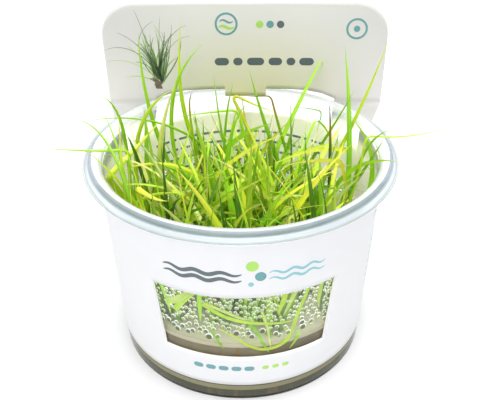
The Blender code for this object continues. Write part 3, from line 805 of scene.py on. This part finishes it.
def back_grid():
    """The low back panel under the slot; near the legs it swings out with them."""
    angles = np.linspace(LEG_ANGLES[-1], 360 - LEG_ANGLES[-1], 49)[:, None]
    heights = card_rows(BACK_TOP, 5)[None]
    around = np.where(angles > 180, angles - 360, angles)
    across = np.sign(around) * np.interp(180 - np.abs(around), BACK_ANGLES, BACK_ACROSS)
    swing = smooth_step((np.abs(angles - 180) - SWING_START) / SWING)[..., None]
    plain, flared = wrap_point(around, heights), leg_point(around, across, heights)
    return plain + swing * (flared - plain), grid_faces(len(angles), heights.shape[1])


def header_grid():
    """The middle of the header, above the slot's curved upper edge and its tab."""
    tab = np.array([TAB_HALF_WIDTH, TAB_HALF_WIDTH - 0.01])
    half = np.concatenate([np.linspace(SLOT_END, TAB_HALF_WIDTH + 0.5, 22), tab,
                           np.linspace(TAB_HALF_WIDTH - 0.5, 0, 6)])
    across = np.concatenate([half, -half[-2::-1]])
    lowest = np.interp(np.abs(across), SLOT_ACROSS, SLOT_HEIGHTS)
    lowest = np.where(np.abs(across) < TAB_HALF_WIDTH - 0.005, TAB_BOTTOM, lowest)
    share = np.linspace(0, 1, 21)[None]
    heights = lowest[:, None] + share * (header_top(across) - lowest)[:, None]
    return header_point(across[:, None], heights), grid_faces(*heights.shape)


def make_sleeve():
    """All parts of the card as one sheet, given its thickness inwards."""
    points, quads, count = [], [], 0
    for place, faces in (front_grid(), leg_grid(1), leg_grid(-1), back_grid(), header_grid()):
        place = place.reshape(-1, 3)
        points.append(place)
        quads.append(faces[:, ::-1] + count)
        count += len(place)
    points, quads = np.concatenate(points), np.concatenate(quads)
    _, first, number = np.unique(np.round(points, 2), axis=0, return_index=True,
                                 return_inverse=True)
    sleeve = add_piece("sleeve_card", points[first], number.reshape(-1)[quads], card_outside())
    sleeve.data.materials.append(card_inside())
    sleeve.data.materials.append(card_edge())
    thicken = sleeve.modifiers.new("board", "SOLIDIFY")
    thicken.thickness = CARD * MM
    thicken.offset = -1
    thicken.material_offset = 1
    thicken.material_offset_rim = 2
    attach(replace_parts(sleeve, "card_sleeve"), "root")


# Print on the card

def on_front(along, height, out):
    """A place on the outside of the wrap: along it in mm from the front's middle, and up it."""
    angle = np.degrees(along / SLEEVE_RADII[1])
    point = wrap_point(angle, height)
    away = np.stack([np.sin(np.radians(angle)), -np.cos(np.radians(angle)), 0 * angle], -1)
    return point + out * away


def on_inside(along, height, out):
    """A place on the inner face of the wrap, along it in mm from the middle of the back."""
    angle = np.degrees(along / SLEEVE_RADII[1])
    away = np.stack([np.sin(np.radians(angle)), np.cos(np.radians(angle)), 0 * angle], -1)
    point = wrap_point(180 - angle, height)
    return point - (CARD + out) * away


def on_header(along, height, out):
    return header_point(along, height) - (CARD + out) * np.array([0.0, 1.0, 0.0])


def stroke(path, width, colour):
    """A ribbon of ink: a path, its width at each point, and one colour."""
    path = np.array(path, float)
    return path, np.broadcast_to(width, len(path)), np.broadcast_to(linear(colour), (len(path), 3))


def bar(x, y, length, thick, colour):
    """A level bar with round ends."""
    share = np.linspace(-1, 1, 13)
    along = np.sin(share * math.pi / 2) * length / 2
    past = np.clip((np.abs(along) - (length - thick) / 2) / (thick / 2), 0, 0.995)
    path = np.stack([x + along, y + 0 * along], 1)
    return stroke(path, thick * np.sqrt(1 - past**2), colour)


def disc(x, y, radius, colour):
    return bar(x, y, 2 * radius, 2 * radius, colour)


def ring(x, y, radius, thick, colour):
    turn = np.linspace(0, 2 * math.pi, 41)
    path = np.stack([x + radius * np.cos(turn), y + radius * np.sin(turn)], 1)
    return stroke(path, thick, colour)


def ripple(x, y, length, rise, waves, thick, colour):
    """A wave y + rise sin(2 pi waves s), thinner towards both ends."""
    share = np.linspace(0, 1, 61)
    path = np.stack([x + length * share, y + rise * np.sin(2 * math.pi * waves * share)], 1)
    return stroke(path, thick * (0.12 + 0.88 * np.sin(math.pi * share) ** 0.5), colour)


def print_ink(name, strokes, place, surface):
    """Lays strokes on the card as thin closed ribbons: path + across times its width."""
    across = np.array([-1, -0.5, 0, 0.5, 1, 1, 0.5, 0, -0.5, -1]) / 2
    lift = np.array([INK] * 5 + [-INK] * 5)
    points, quads, caps, tints, count = [], [], [], [], 0
    for path, width, tint in strokes:
        ahead = np.gradient(path, axis=0)
        ahead /= np.linalg.norm(ahead, axis=1)[:, None]
        aside = np.stack([-ahead[:, 1], ahead[:, 0]], 1)
        flat = path[:, None] + (width[:, None] * across)[..., None] * aside[:, None]
        lifts = np.broadcast_to(lift, flat.shape[:2])
        points.append(place(flat[..., 0], flat[..., 1], lifts[..., None]).reshape(-1, 3))
        quads.append(grid_faces(len(path), len(across), round_columns=True) + count)
        ends = np.arange(len(across))
        caps += [ends[::-1] + count, ends + count + (len(path) - 1) * len(across)]
        tints.append(np.repeat(tint, len(across), 0))
        count += len(points[-1])
    piece = add_piece(name, np.concatenate(points), np.concatenate(quads), surface, caps,
                      np.concatenate(tints), sharp=40)
    shape = bmesh.new()
    shape.from_mesh(piece.data)
    bmesh.ops.recalc_face_normals(shape, faces=shape.faces)
    shape.to_mesh(piece.data)
    shape.free()
    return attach(piece, "root")


def dashes(x, y, length, longest, thick, colour, draw):
    """A row of short bars of uneven lengths, as wide as the given length."""
    row, place = [], x
    while place < x + length:
        long = draw.uniform(0.35, 1.0) * longest
        row.append(bar(place + long / 2, y, long, thick, colour))
        place += long + 1.1
    return row


def tuft_strokes(x, y, draw):
    """A small printed tuft: fine bent leaves, some trailing far out, from a brown foot."""
    share = np.linspace(0, 1, 25)
    strokes = []
    for number in range(64):
        trailing = number % 6 == 0
        lean, bend = draw.gauss(-4, 20), draw.gauss(0, 70 if trailing else 26)
        length = draw.uniform(20, 29) if trailing else draw.uniform(9, 20)
        turn = np.radians(lean + bend * share**1.8)
        step = length / (len(share) - 1)
        path = np.stack([x + np.cumsum(np.sin(turn)) * step + draw.uniform(-1.8, 1.8),
                         y + np.cumsum(np.cos(turn)) * step + draw.uniform(-0.5, 1.5)], 1)
        width = (0.4 if trailing else 0.62) * (1.05 - share) ** 0.6
        strokes.append(stroke(path, width, draw.choice(TUFT_GREENS)))
    for _ in range(16):
        lean, length = draw.gauss(-6, 22), draw.uniform(2, 6)
        turn = math.radians(lean)
        path = np.array([(x + draw.uniform(-1.2, 1.2) + length * math.sin(turn) * s,
                          y - 2 + length * math.cos(turn) * s) for s in np.linspace(0, 1, 6)])
        strokes.append(stroke(path, 0.5, draw.choice(TUFT_BROWNS)))
    return strokes


def front_marks():
    """Ripples and pebbles above the window, and a row of bars below it."""
    marks = [ripple(-25.5, 58.7 - 2.5 * row, 26, 0.6, 3, 1.6, SLATE) for row in range(2)]
    marks += [ripple(9, 58.7 - 2.5 * row, 19.5, 0.6, 3, 1.0, PALE_TEAL) for row in range(2)]
    marks += [disc(3.8, 61.8, 2.0, LIME_INK), disc(6.4, 57.6, 1.8, TEAL),
              disc(3.4, 54.6, 0.9, PALE_TEAL)]
    marks += [bar(-15.6 + 4.6 * place, 16.4, 3.6, 2.1, TEAL) for place in range(5)]
    return marks + [bar(8.6 + 3.7 * place, 16.4, 2.5, 1.7, LIME_INK) for place in range(3)]


def side_marks(draw):
    """On each side, a ripple over rows of dashes."""
    marks = []
    for place in (-73, 63):
        marks.append(ripple(place - 6, 60, 12, 1.2, 1.5, 1.1, PALE_TEAL))
        for row in range(6):
            marks += dashes(place - 4, 49 - 3.2 * row, 12, 5, 0.8, PALE_TEAL, draw)
    return marks


def inside_marks(draw):
    """Rows of dashes behind the plants, each shorter than the one above it."""
    marks = []
    for row in range(5):
        wide = 38 - 2.5 * row
        marks += dashes(-wide, 57.2 - 4.3 * row, 2 * wide, 4.2, 1.0, GREY_TEAL, draw)
    return marks


def header_marks():
    """Two rings, pebbles between them, and a row of bars below."""
    marks = [ring(-7, 103.2, 3.9, 0.8, TEAL), ripple(-10, 102.0, 6, 0.5, 1, 1.1, LIME_INK),
             ripple(-9.6, 104.2, 5.2, 0.5, 1, 0.8, TEAL)]
    marks += [disc(5.5 + 3.9 * place, 103, 1.4, colour)
              for place, colour in enumerate((LIME_INK, TEAL, SLATE))]
    marks += [bar(-11 + place, 88.6, long, 3.0, SLATE) for place, long in HEADER_BARS]
    return marks + [ring(41.8, 101.6, 3.6, 0.8, TEAL), disc(41.8, 101.6, 1.2, TEAL)]


def make_print():
    """Plain marks in the sleeve's colours: ripples, pebbles, dashes, rings and a tuft."""
    surface = printing_ink()
    draw = random.Random(PRINT_SEED)
    print_ink("print_front", front_marks(), on_front, surface)
    print_ink("print_sides", side_marks(draw), on_front, surface)
    print_ink("print_inside", inside_marks(draw), on_inside, surface)
    print_ink("print_header", header_marks(), on_header, surface)
    print_ink("print_tuft", tuft_strokes(-33.7, 80.1, draw), on_header, surface)


# Leaves

def leaf_line(leaf, shares):
    """Points, headings and leans of a leaf's middle line at the given shares of its length.

    The lean is lean + curl s^1.5, with the fold added smoothly; the line sums its direction.
    """
    x, y, heading, lean, curl, turn, length = leaf[:7]
    fold_at, fold = leaf[9:] if len(leaf) > 9 else (0.5, 0.0)
    fine = np.linspace(0, 1, 97)
    tilt = lean + curl * fine**CURL_POWER
    tilt = np.radians(tilt + fold * smooth_step((fine - fold_at) / FOLD_SHARE + 0.5))
    way = np.radians(heading + turn * fine)
    ahead = np.stack([np.sin(tilt) * np.cos(way), np.sin(tilt) * np.sin(way), np.cos(tilt)], 1)
    steps = (ahead[1:] + ahead[:-1]) / 2 * length / (len(fine) - 1)
    line = np.vstack([[0, 0, 0], np.cumsum(steps, 0)]) + (x, y, ROOT_HEIGHT)
    pick = [np.interp(shares, fine, values) for values in (*line.T, way, tilt)]
    return np.stack(pick[:3], 1), pick[3], pick[4]


def blade_width(shares):
    """Share of the full width along a blade: a narrower foot and a long taper to a fine tip."""
    foot = 0.8 + 0.2 * smooth_step(shares / 0.25)
    return 1.1 * foot * (1 - 0.97 * np.clip((shares - 0.5) / 0.5, 0, 1) ** 1.7)


def blade_shares(leaf, rings):
    """Where a blade has its rings: evenly spread, and closer in a fold."""
    shares = np.linspace(0, 1, rings)
    if len(leaf) <= 9:
        return shares
    near = leaf[9] + FOLD_SHARE * np.linspace(-0.6, 0.6, 9)
    far = shares[np.abs(shares - leaf[9]) > FOLD_SHARE * 0.65]
    return np.clip(np.sort(np.concatenate([far, near])), 0, 1)


def blade(leaf, rings, lift=0.0):
    """A blade along a leaf's line, twisted about it, with its sheath reaching the gel."""
    shares = blade_shares(leaf, rings)
    centres, way, tilt = leaf_line(leaf, shares)
    twist = math.radians(leaf[8])
    ahead = np.stack([np.sin(tilt) * np.cos(way), np.sin(tilt) * np.sin(way), np.cos(tilt)], 1)
    level = np.stack([-np.sin(way), np.cos(way), 0 * way], 1)
    across = math.cos(twist) * level + math.sin(twist) * np.cross(ahead, level)
    centres = np.concatenate([centres[:1] - ahead[:1] * SHEATH_DEPTH, centres + (0, 0, lift)])
    across, ahead = (np.concatenate([way[:1], way]) for way in (across, ahead))
    return blade_mesh(centres, ahead, across, np.concatenate([[0], shares]), leaf[7], leaf[6])


def blade_mesh(centres, ahead, across, shares, width, length):
    """A channelled blade: middle line + across u w + through (channel |u|^1.4 w + depth)."""
    through = np.cross(ahead, across)
    half = width / 2 * blade_width(shares)[:, None]
    place, depth = SECTION.T
    depth = depth * BLADE_HALF_DEPTH * (0.35 + 0.65 * half / (width / 2))
    raised = depth + CHANNEL * (np.abs(place) ** 1.4 - 0.4) * half
    points = (centres[:, None] + half[..., None] * place[:, None] * across[:, None]
              + raised[..., None] * through[:, None])
    uv = np.stack([np.tile((place + 1) / 2, (len(shares), 1)),
                   np.repeat(shares[:, None] * length / 10, len(place), 1)], -1)
    count = len(points) * len(place)
    caps = [np.arange(len(place))[::-1], np.arange(count - len(place), count)]
    faces = grid_faces(len(points), len(place), round_columns=True)
    return points.reshape(-1, 3), faces, caps, uv.reshape(-1, 2), np.repeat(shares, len(place))


def leaf_tint(tone, end, shares, draw, variety=LEAF_VARIETY):
    """Colours along a leaf: foot, middle and tip of its tone, varied by a share, then its end."""
    foot, middle, tip = (linear(colour) for colour in TONES[tone])
    shift = TINT_LIFT + variety * (draw.random() - 0.5) * np.array([1.0, 1.0, 0.8])
    rise = smooth_step(shares / 0.42)[:, None]
    ahead = smooth_step((shares - 0.55) / 0.45)[:, None]
    tint = (foot + (middle - foot) * rise) * (1 - ahead) + tip * ahead
    tint = np.minimum(tint * shift, LIGHTEST)
    if end:
        start = 0.62 if end == "orange" else 0.8
        dry = smooth_step((shares - start) / 0.16)[:, None]
        warm = np.exp(-((shares - start) / 0.09) ** 2)[:, None] * 0.8
        tint = tint + (linear(ENDS["orange"]) - tint) * warm
        tint = tint + (linear(ENDS[end]) - tint) * dry
    return tint


def tinted(made, tones, draw, variety=LEAF_VARIETY):
    """A blade and its colours, in a tone drawn from these."""
    return made, leaf_tint(draw.choice(tones), None, made[4], draw, variety)


def join_blades(blades):
    """Puts blades together in one set of points, faces, caps, places and colours."""
    points, quads, caps, uvs, tints, count = [], [], [], [], [], 0
    for (place, faces, ends, uv, _), tint in blades:
        points.append(place)
        quads.append(faces + count)
        caps += [end + count for end in ends]
        uvs.append(uv)
        tints.append(tint)
        count += len(place)
    return (np.concatenate(points), np.concatenate(quads), caps, np.concatenate(uvs),
            np.concatenate(tints))


def add_blades(name, blades, surface):
    points, quads, caps, uv, tint = join_blades(blades)
    piece = add_piece(name, points, quads, surface, caps, tint, uv, sharp=75)
    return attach(piece, "root")


def make_leaves(surface):
    """The leaves that can be told apart, each in place of its own node."""
    draw = random.Random(LEAF_SEED)
    for number, (tone, end, *leaf) in enumerate(LEAVES, 1):
        made = blade(leaf, BLADE_RINGS)
        blades = [(made, leaf_tint(tone, end, made[4], draw))]
        piece = add_blades(f"blade_{number:02d}", blades, surface)
        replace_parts(piece, f"leaf_{number:02d}")


def drawn_leaf(shoot_place, off, fan, bow, draw):
    """One leaf of a shoot's fan, off its middle by a number of places, leaning outwards."""
    x, y, axis = shoot_place
    turn = math.radians(axis)
    root = (x + off * FOOT_PITCH * math.cos(turn), y + off * FOOT_PITCH * math.sin(turn))
    heading = axis if off > 0 else axis + 180
    lean = 2 + fan * abs(off) + draw.uniform(-2, 2)
    curl = 3 + bow * abs(off) + draw.uniform(-4, 4)
    length, width = draw.uniform(*SHOOT_LENGTHS), draw.uniform(*SHOOT_WIDTHS)
    return (*root, heading, lean, curl, draw.uniform(*SHOOT_TURNS), length, width,
            draw.choice((0, 30, 60, 90)))


def has_room(line, width, points, widths):
    """Whether a leaf's line stays in the tub and keeps clear of the points of the others."""
    if np.hypot(line[:, 0], line[:, 1]).max() > CROWD_REACH or line[:, 2].min() < ROOT_HEIGHT:
        return False
    apart = np.linalg.norm(line[:, None] - points[None], axis=2)
    return bool((apart > (width + widths) / 2 + LEAF_ROOM).all())


def grown_shoot(x, y, points, widths, draw):
    """Draws a shoot's leaves one by one, each anew until it has room, or gives up."""
    axis = draw.uniform(0, 180)
    fan, bow = draw.uniform(*SHOOT_FANS), draw.uniform(*SHOOT_BOWS)
    leaves, lines = [], []
    for place in range(SHOOT_LEAVES):
        for _ in range(DRAWS):
            leaf = drawn_leaf((x, y, axis), place - (SHOOT_LEAVES - 1) / 2, fan, bow, draw)
            line, width = leaf_line(leaf, LINE_SHARES)[0] + (0, 0, FOOT_HEIGHT), leaf[7]
            own = np.concatenate([other[FOOT_POINTS:] for other in lines]) if lines else line[:0]
            own_widths = np.full(len(own), width)
            if (has_room(line, width, points, widths)
                    and has_room(line[FOOT_POINTS:], width, own, own_widths)):
                break
        else:
            return None
        leaves.append(leaf)
        lines.append(line)
    return leaves, np.concatenate(lines)


def grown_shoots(lines):
    """Stands each shoot of the crowd near its place, where its leaves clear all the others."""
    draw = random.Random(CROWD_SEED)
    points = np.concatenate([line for line, _ in lines])
    widths = np.concatenate([np.full(len(line), width) for line, width in lines])
    shoots = []
    for x, y in SHOOT_PLACES:
        grown = None
        while grown is None:
            near = (x + draw.uniform(-SHOOT_NEAR, SHOOT_NEAR),
                    y + draw.uniform(-SHOOT_NEAR, SHOOT_NEAR))
            grown = grown_shoot(*near, points, widths, draw)
        leaves, line = grown
        shoots.append(leaves)
        points = np.concatenate([points, line])
        widths = np.concatenate([widths, np.full(len(line), WIDEST_OF_CROWD)])
    return shoots


def make_shoots(surface):
    """The CAD's own shoots, each with fine blades on its foot."""
    shares = np.linspace(0, 1, 33)
    others = [(leaf_line(leaf, shares)[0], leaf[7]) for _, _, *leaf in LEAVES]
    draw = random.Random(SHOOT_SEED)
    for number, leaves in enumerate(grown_shoots(others), 1):
        blades = [tinted(blade(leaf, SHOOT_RINGS, FOOT_HEIGHT), SHOOT_TONES, draw)
                  for leaf in leaves]
        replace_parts(add_blades(f"shoot_blades_{number}", blades, surface), f"shoot_{number}")


def keeps_inside(leaf):
    """Whether a leaf stays off the gel, the wall, the rim and the card, and in the CAD's box."""
    line = leaf_line(leaf, LINE_SHARES)[0]
    x, y, z = line.T
    wall = wall_radius(np.minimum(z, WALL_TOP)) - TUB_WALL - 1.0
    room = np.where(z < OVER_RIM, wall, REACH_OVER_RIM)
    clear_of_card = (y < FURTHEST_BACK).all() and z.max() < HIGHEST_TIP
    return bool((np.hypot(x, y) < room).all() and clear_of_card and z[3:].min() > ROOT_HEIGHT + 1)


def tuft_leaf(x, y, draw):
    """A narrow leaf of the undergrowth, leaning any way and curling over towards its tip."""
    longest, widest = BACK_TUFT_LIMITS if y > BACK_TUFTS_FROM else FRONT_TUFT_LIMITS
    heading, lean = draw.uniform(0, 360), draw.uniform(2, 26)
    curl, turn = draw.uniform(-10, 85), draw.uniform(-40, 40)
    length = draw.uniform(26, longest)
    return (x + draw.uniform(-3, 3), y + draw.uniform(-3, 3), heading, lean, curl, turn, length,
            draw.uniform(0.8, widest), draw.uniform(0, 180))


def arching_leaf(draw):
    """A broad leaf of the front half that rises and bends over to the level."""
    radius, angle = ARCH_REACH * math.sqrt(draw.random()), draw.uniform(0, 2 * math.pi)
    x, y = radius * math.cos(angle), radius * math.sin(angle) - ARCH_SHIFT
    heading = draw.choice((0, 180)) + draw.uniform(-60, 60)
    return (x, y, heading, draw.uniform(6, 30), draw.uniform(55, 105),
            draw.uniform(-30, 30), draw.uniform(50, 74), draw.uniform(1.5, 2.5),
            draw.uniform(0, 180))


def make_arches(surface):
    """Leaves of the front half that bend over to the level, in one piece."""
    draw = random.Random(ARCH_SEED)
    blades = []
    while len(blades) < ARCHES:
        leaf = arching_leaf(draw)
        if keeps_inside(leaf):
            blades.append(tinted(blade(leaf, ARCH_RINGS), ARCH_TONES, draw, CROWD_VARIETY))
    add_blades("arching_leaves", blades, surface)


def make_undergrowth(surface):
    """Tufts of narrow leaves on the gel, between the drawn leaves, in three pieces."""
    draw = random.Random(UNDERGROWTH_SEED)
    blades = []
    for tuft in range(TUFTS):
        radius, angle = TUFT_REACH * math.sqrt(draw.random()), draw.uniform(0, 2 * math.pi)
        if tuft < FRONT_TUFTS:
            radius = draw.uniform(*FRONT_TUFT_RADII)
            angle = math.radians(-90 + draw.uniform(-FRONT_TUFT_SPREAD, FRONT_TUFT_SPREAD))
        x, y = radius * math.cos(angle), radius * math.sin(angle)
        left = TUFT_LEAVES
        for _ in range(TUFT_LEAVES * TRIES_PER_LEAF):
            leaf = tuft_leaf(x, y, draw)
            if left and keeps_inside(leaf):
                left -= 1
                blades.append(tinted(blade(leaf, TUFT_RINGS), TUFT_TONES, draw, CROWD_VARIETY))
    third = (len(blades) + 2) // 3
    for number in range(3):
        part = blades[number * third:(number + 1) * third]
        add_blades(f"undergrowth_{number + 1}", part, surface)


def pressed_line(path):
    """The (angle, height) places of a leaf on the wall, close together and smoothed."""
    corners = np.array(path, float)
    steps = np.linspace(0, 1, PRESSED_RINGS)
    given = np.linspace(0, 1, len(corners))
    line = np.stack([np.interp(steps, given, column) for column in corners.T], 1)
    for _ in range(PRESSED_SMOOTHING):
        line[1:-1] = (line[:-2] + 2 * line[1:-1] + line[2:]) / 4
    return line


def pressed_blade(path, width):
    """A blade along places of the wall, clear of it over the gel."""
    angle, height = pressed_line(path).T
    turn = np.radians(angle)
    out = np.stack([np.sin(turn), -np.cos(turn), 0 * turn], 1)
    over_gel = smooth_step((height - GEL_TOP - 0.5) / 2)
    radius = wall_radius(height) - PRESSED_LOW - (PRESSED_HIGH - PRESSED_LOW) * over_gel
    centres = out * radius[:, None] + np.stack([0 * height, 0 * height, height], 1)
    ahead = np.gradient(centres, axis=0)
    lengths = np.linalg.norm(ahead, axis=1)
    ahead /= lengths[:, None]
    across = np.cross(out, ahead)
    across /= np.linalg.norm(across, axis=1)[:, None]
    shares = 0.15 + 0.8 * np.linspace(0, 1, PRESSED_RINGS)
    return blade_mesh(centres, ahead, across, shares, width, lengths.sum())


def make_pressed_leaves(surface):
    """The leaves that show in the window, bent against the wall by its curve."""
    draw = random.Random(PRESSED_SEED)
    blades = []
    for tone, width, *path in PRESSED_LEAVES:
        made = pressed_blade(path, width)
        blades.append((made, leaf_tint(tone, None, made[4] * 0.5 + 0.5, draw)))
    add_blades("pressed_leaves", blades, surface)


# Drops on the wall

def drop_places():
    """Angles from the front, heights and sizes of drops that hardly overlap: coarse ones low.

    None lies on a pressed leaf. Distances along the wall are taken at a radius of WALL_ROUND.
    """
    draw = np.random.default_rng(DROP_SEED)
    angles = np.pi * (2 * draw.random(DROP_TRIES) - 1)
    in_window = np.abs(angles) < DROPS_DENSE_UP_TO
    heights = DROP_LOWEST + np.where(in_window, *DROP_RISES) * draw.random(DROP_TRIES)
    coarse = np.clip(1 - (heights - DROP_LOWEST) / COARSE_UP_TO, 0, 1)
    sizes = DROP_SIZE + DROP_SIZE_SPREAD * draw.random(DROP_TRIES)
    sizes = sizes + COARSE_EXTRA * coarse * draw.random(DROP_TRIES)
    wanted = draw.random(DROP_TRIES) < np.where(in_window, 1 - 0.8 * coarse, SPARSE_SHARE)
    places = np.stack([angles * WALL_ROUND, heights], 1)
    for _, width, *path in PRESSED_LEAVES:
        line = pressed_line(path) * (math.radians(WALL_ROUND), 1)
        apart = np.linalg.norm(places[:, None] - line[None], axis=2).min(1)
        wanted &= apart > 0.5 * width + 0.7 * sizes
    kept = []
    for number in np.flatnonzero(wanted):
        apart = np.linalg.norm(places[kept] - places[number], axis=1)
        if (apart > 0.88 * (sizes[kept] + sizes[number])).all():
            kept.append(number)
    return angles[kept], heights[kept], sizes[kept]


def drop_cap():
    """A cap of water 1 in radius: a flat back, then depth sqrt(1 - s^2) at a share s of it."""
    share = np.array(DROP_RINGS)
    rises = np.arange(len(share)) >= DROP_BACK_RINGS
    depth = np.where(rises, DROP_DEPTH * np.sqrt(1 - share**2), 0)
    around = 2 * np.pi * np.arange(DROP_SIDES) / DROP_SIDES
    aside, up = np.outer(share, np.cos(around)).ravel(), np.outer(share, np.sin(around)).ravel()
    return aside, up, np.repeat(depth, DROP_SIDES)


def drop_painted_light(size, aside, up):
    """Each drop's painted light: a dark centre, darker in a large drop, standing in for the shaded
    view through it, with a bright crescent of painted highlight over it.
    """
    outer = smooth_step((np.hypot(up, aside) - 0.74) / 0.14)
    # Bright crescent along the drop's upper edge: a painted highlight.
    bright = (smooth_step((up + 0.45 + 0.25 * aside) / 0.5) * outer)[None, :, None]
    large = smooth_step((size - 0.6) / 0.5)[:, None, None]
    painted_core = linear(SMALL_DROP_PAINTED_CORE) + (linear(DROP_PAINTED_CORE) - linear(SMALL_DROP_PAINTED_CORE)) * large
    return (painted_core + (1 - painted_core) * bright).reshape(-1, 3)


def make_drops():
    """The cap at each drop's place on the inside of the wall, scaled by the drop's size."""
    angle, height, size = drop_places()
    aside, up, inward = drop_cap()
    base = wall_radius(height) - TUB_WALL - 0.01
    out = np.stack([np.sin(angle), -np.cos(angle), 0 * angle], 1)
    along = np.stack([np.cos(angle), np.sin(angle), 0 * angle], 1)
    centre = out * base[:, None] + np.stack([0 * height, 0 * height, height], 1)
    points = (centre[:, None] - size[:, None, None] * (
        inward[None, :, None] * out[:, None] - aside[None, :, None] * along[:, None]
        - up[None, :, None] * np.array([0.0, 0.0, 1.0])))
    starts = len(up) * np.arange(len(size))
    one = grid_faces(len(DROP_RINGS), DROP_SIDES, round_columns=True)
    quads = (one[None] + starts[:, None, None]).reshape(-1, 4)
    caps = [start + np.arange(DROP_SIDES)[::-1] for start in starts]
    caps += [start + np.arange(len(up) - DROP_SIDES, len(up)) for start in starts]
    drops = add_piece("wall_drops", points.reshape(-1, 3), quads, water(), caps,
                      drop_painted_light(size, aside, up), sharp=60)
    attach(drops, "root")


# Room

def make_floor():
    """A plain pale floor with the faintest unevenness."""
    made, tree, shader = new_material("pale_floor")
    cloud = noise(tree, object_coordinates(tree), 6.0)
    fill(tree, shader, {"Base Color": mixed(tree, cloud, shade((190, 190, 190)),
                                            shade((196, 196, 196))),
                        "Roughness": 0.9,
                        "Emission Color": (1, 1, 1, 1),
                        "Emission Strength": 0.3})
    corners = np.array([(-1, -1, 0), (1, -1, 0), (1, 1, 0), (-1, 1, 0)]) * FLOOR_HALF
    floor = add_piece("floor", corners - (0, 0, FLOOR_DROP), np.array([[0, 1, 2, 3]]), made)


def add_light(name, place, aim, size, power):
    """A rectangular lamp at a place, turned towards its aim."""
    data = bpy.data.lights.new(name, "AREA")
    data.shape = "RECTANGLE"
    data.size, data.size_y = size
    data.energy = power
    light = bpy.data.objects.new(name, data)
    bpy.context.scene.collection.objects.link(light)
    light.location = place
    away = np.array(place, float) - aim
    flat = math.hypot(away[0], away[1])
    light.rotation_euler = (math.atan2(flat, away[2]), 0, math.atan2(away[0], -away[1]))


def make_lights():
    """A soft room, a large light overhead, and two at the front, high and low."""
    world = bpy.data.worlds.new("studio")
    bpy.context.scene.world = world
    world.use_nodes = True
    tree = world.node_tree
    back = tree.nodes["Background"]
    ray = node(tree, "ShaderNodeTexCoord").outputs["Generated"]
    rise = spread(tree, split_axes(tree, ray)[2], -0.1, 0.7, 0.0, 1.0)
    fill(tree, back, {"Color": mixed(tree, rise, shade((240, 242, 244)), shade((255, 255, 255))),
                      "Strength": 0.75})
    middle = np.array([0, 0, 0.04])
    add_light("overhead", (0.05, 0.05, 0.9), middle, (0.7, 0.7), 10.5)
    add_light("front_high", (-0.25, -0.45, 0.85), middle, (0.6, 0.6), 2.0)
    add_light("front_low", (-0.1, -0.7, 0.32), middle, (0.5, 0.4), 1.0)


def make_camera():
    data = bpy.data.cameras.new("camera")
    data.lens = CAMERA_LENS
    data.sensor_width = 36.0
    data.shift_y = CAMERA_SHIFT
    data.clip_start = 0.01
    camera = bpy.data.objects.new("camera", data)
    camera.location = CAMERA_PLACE
    camera.rotation_mode = "ZYX"
    camera.rotation_euler = (math.radians(90 - CAMERA_PITCH), 0, math.radians(CAMERA_ROLL))
    bpy.context.scene.collection.objects.link(camera)
    bpy.context.scene.camera = camera
    bpy.context.scene.view_settings.view_transform = "Standard"


def build():
    make_camera()
    make_lights()
    make_floor()
    make_tub()
    make_gel()
    make_sleeve()
    make_print()
    skin = leaf_skin()
    make_leaves(skin)
    make_shoots(skin)
    make_undergrowth(skin)
    make_arches(skin)
    make_pressed_leaves(skin)
    make_drops()


build()
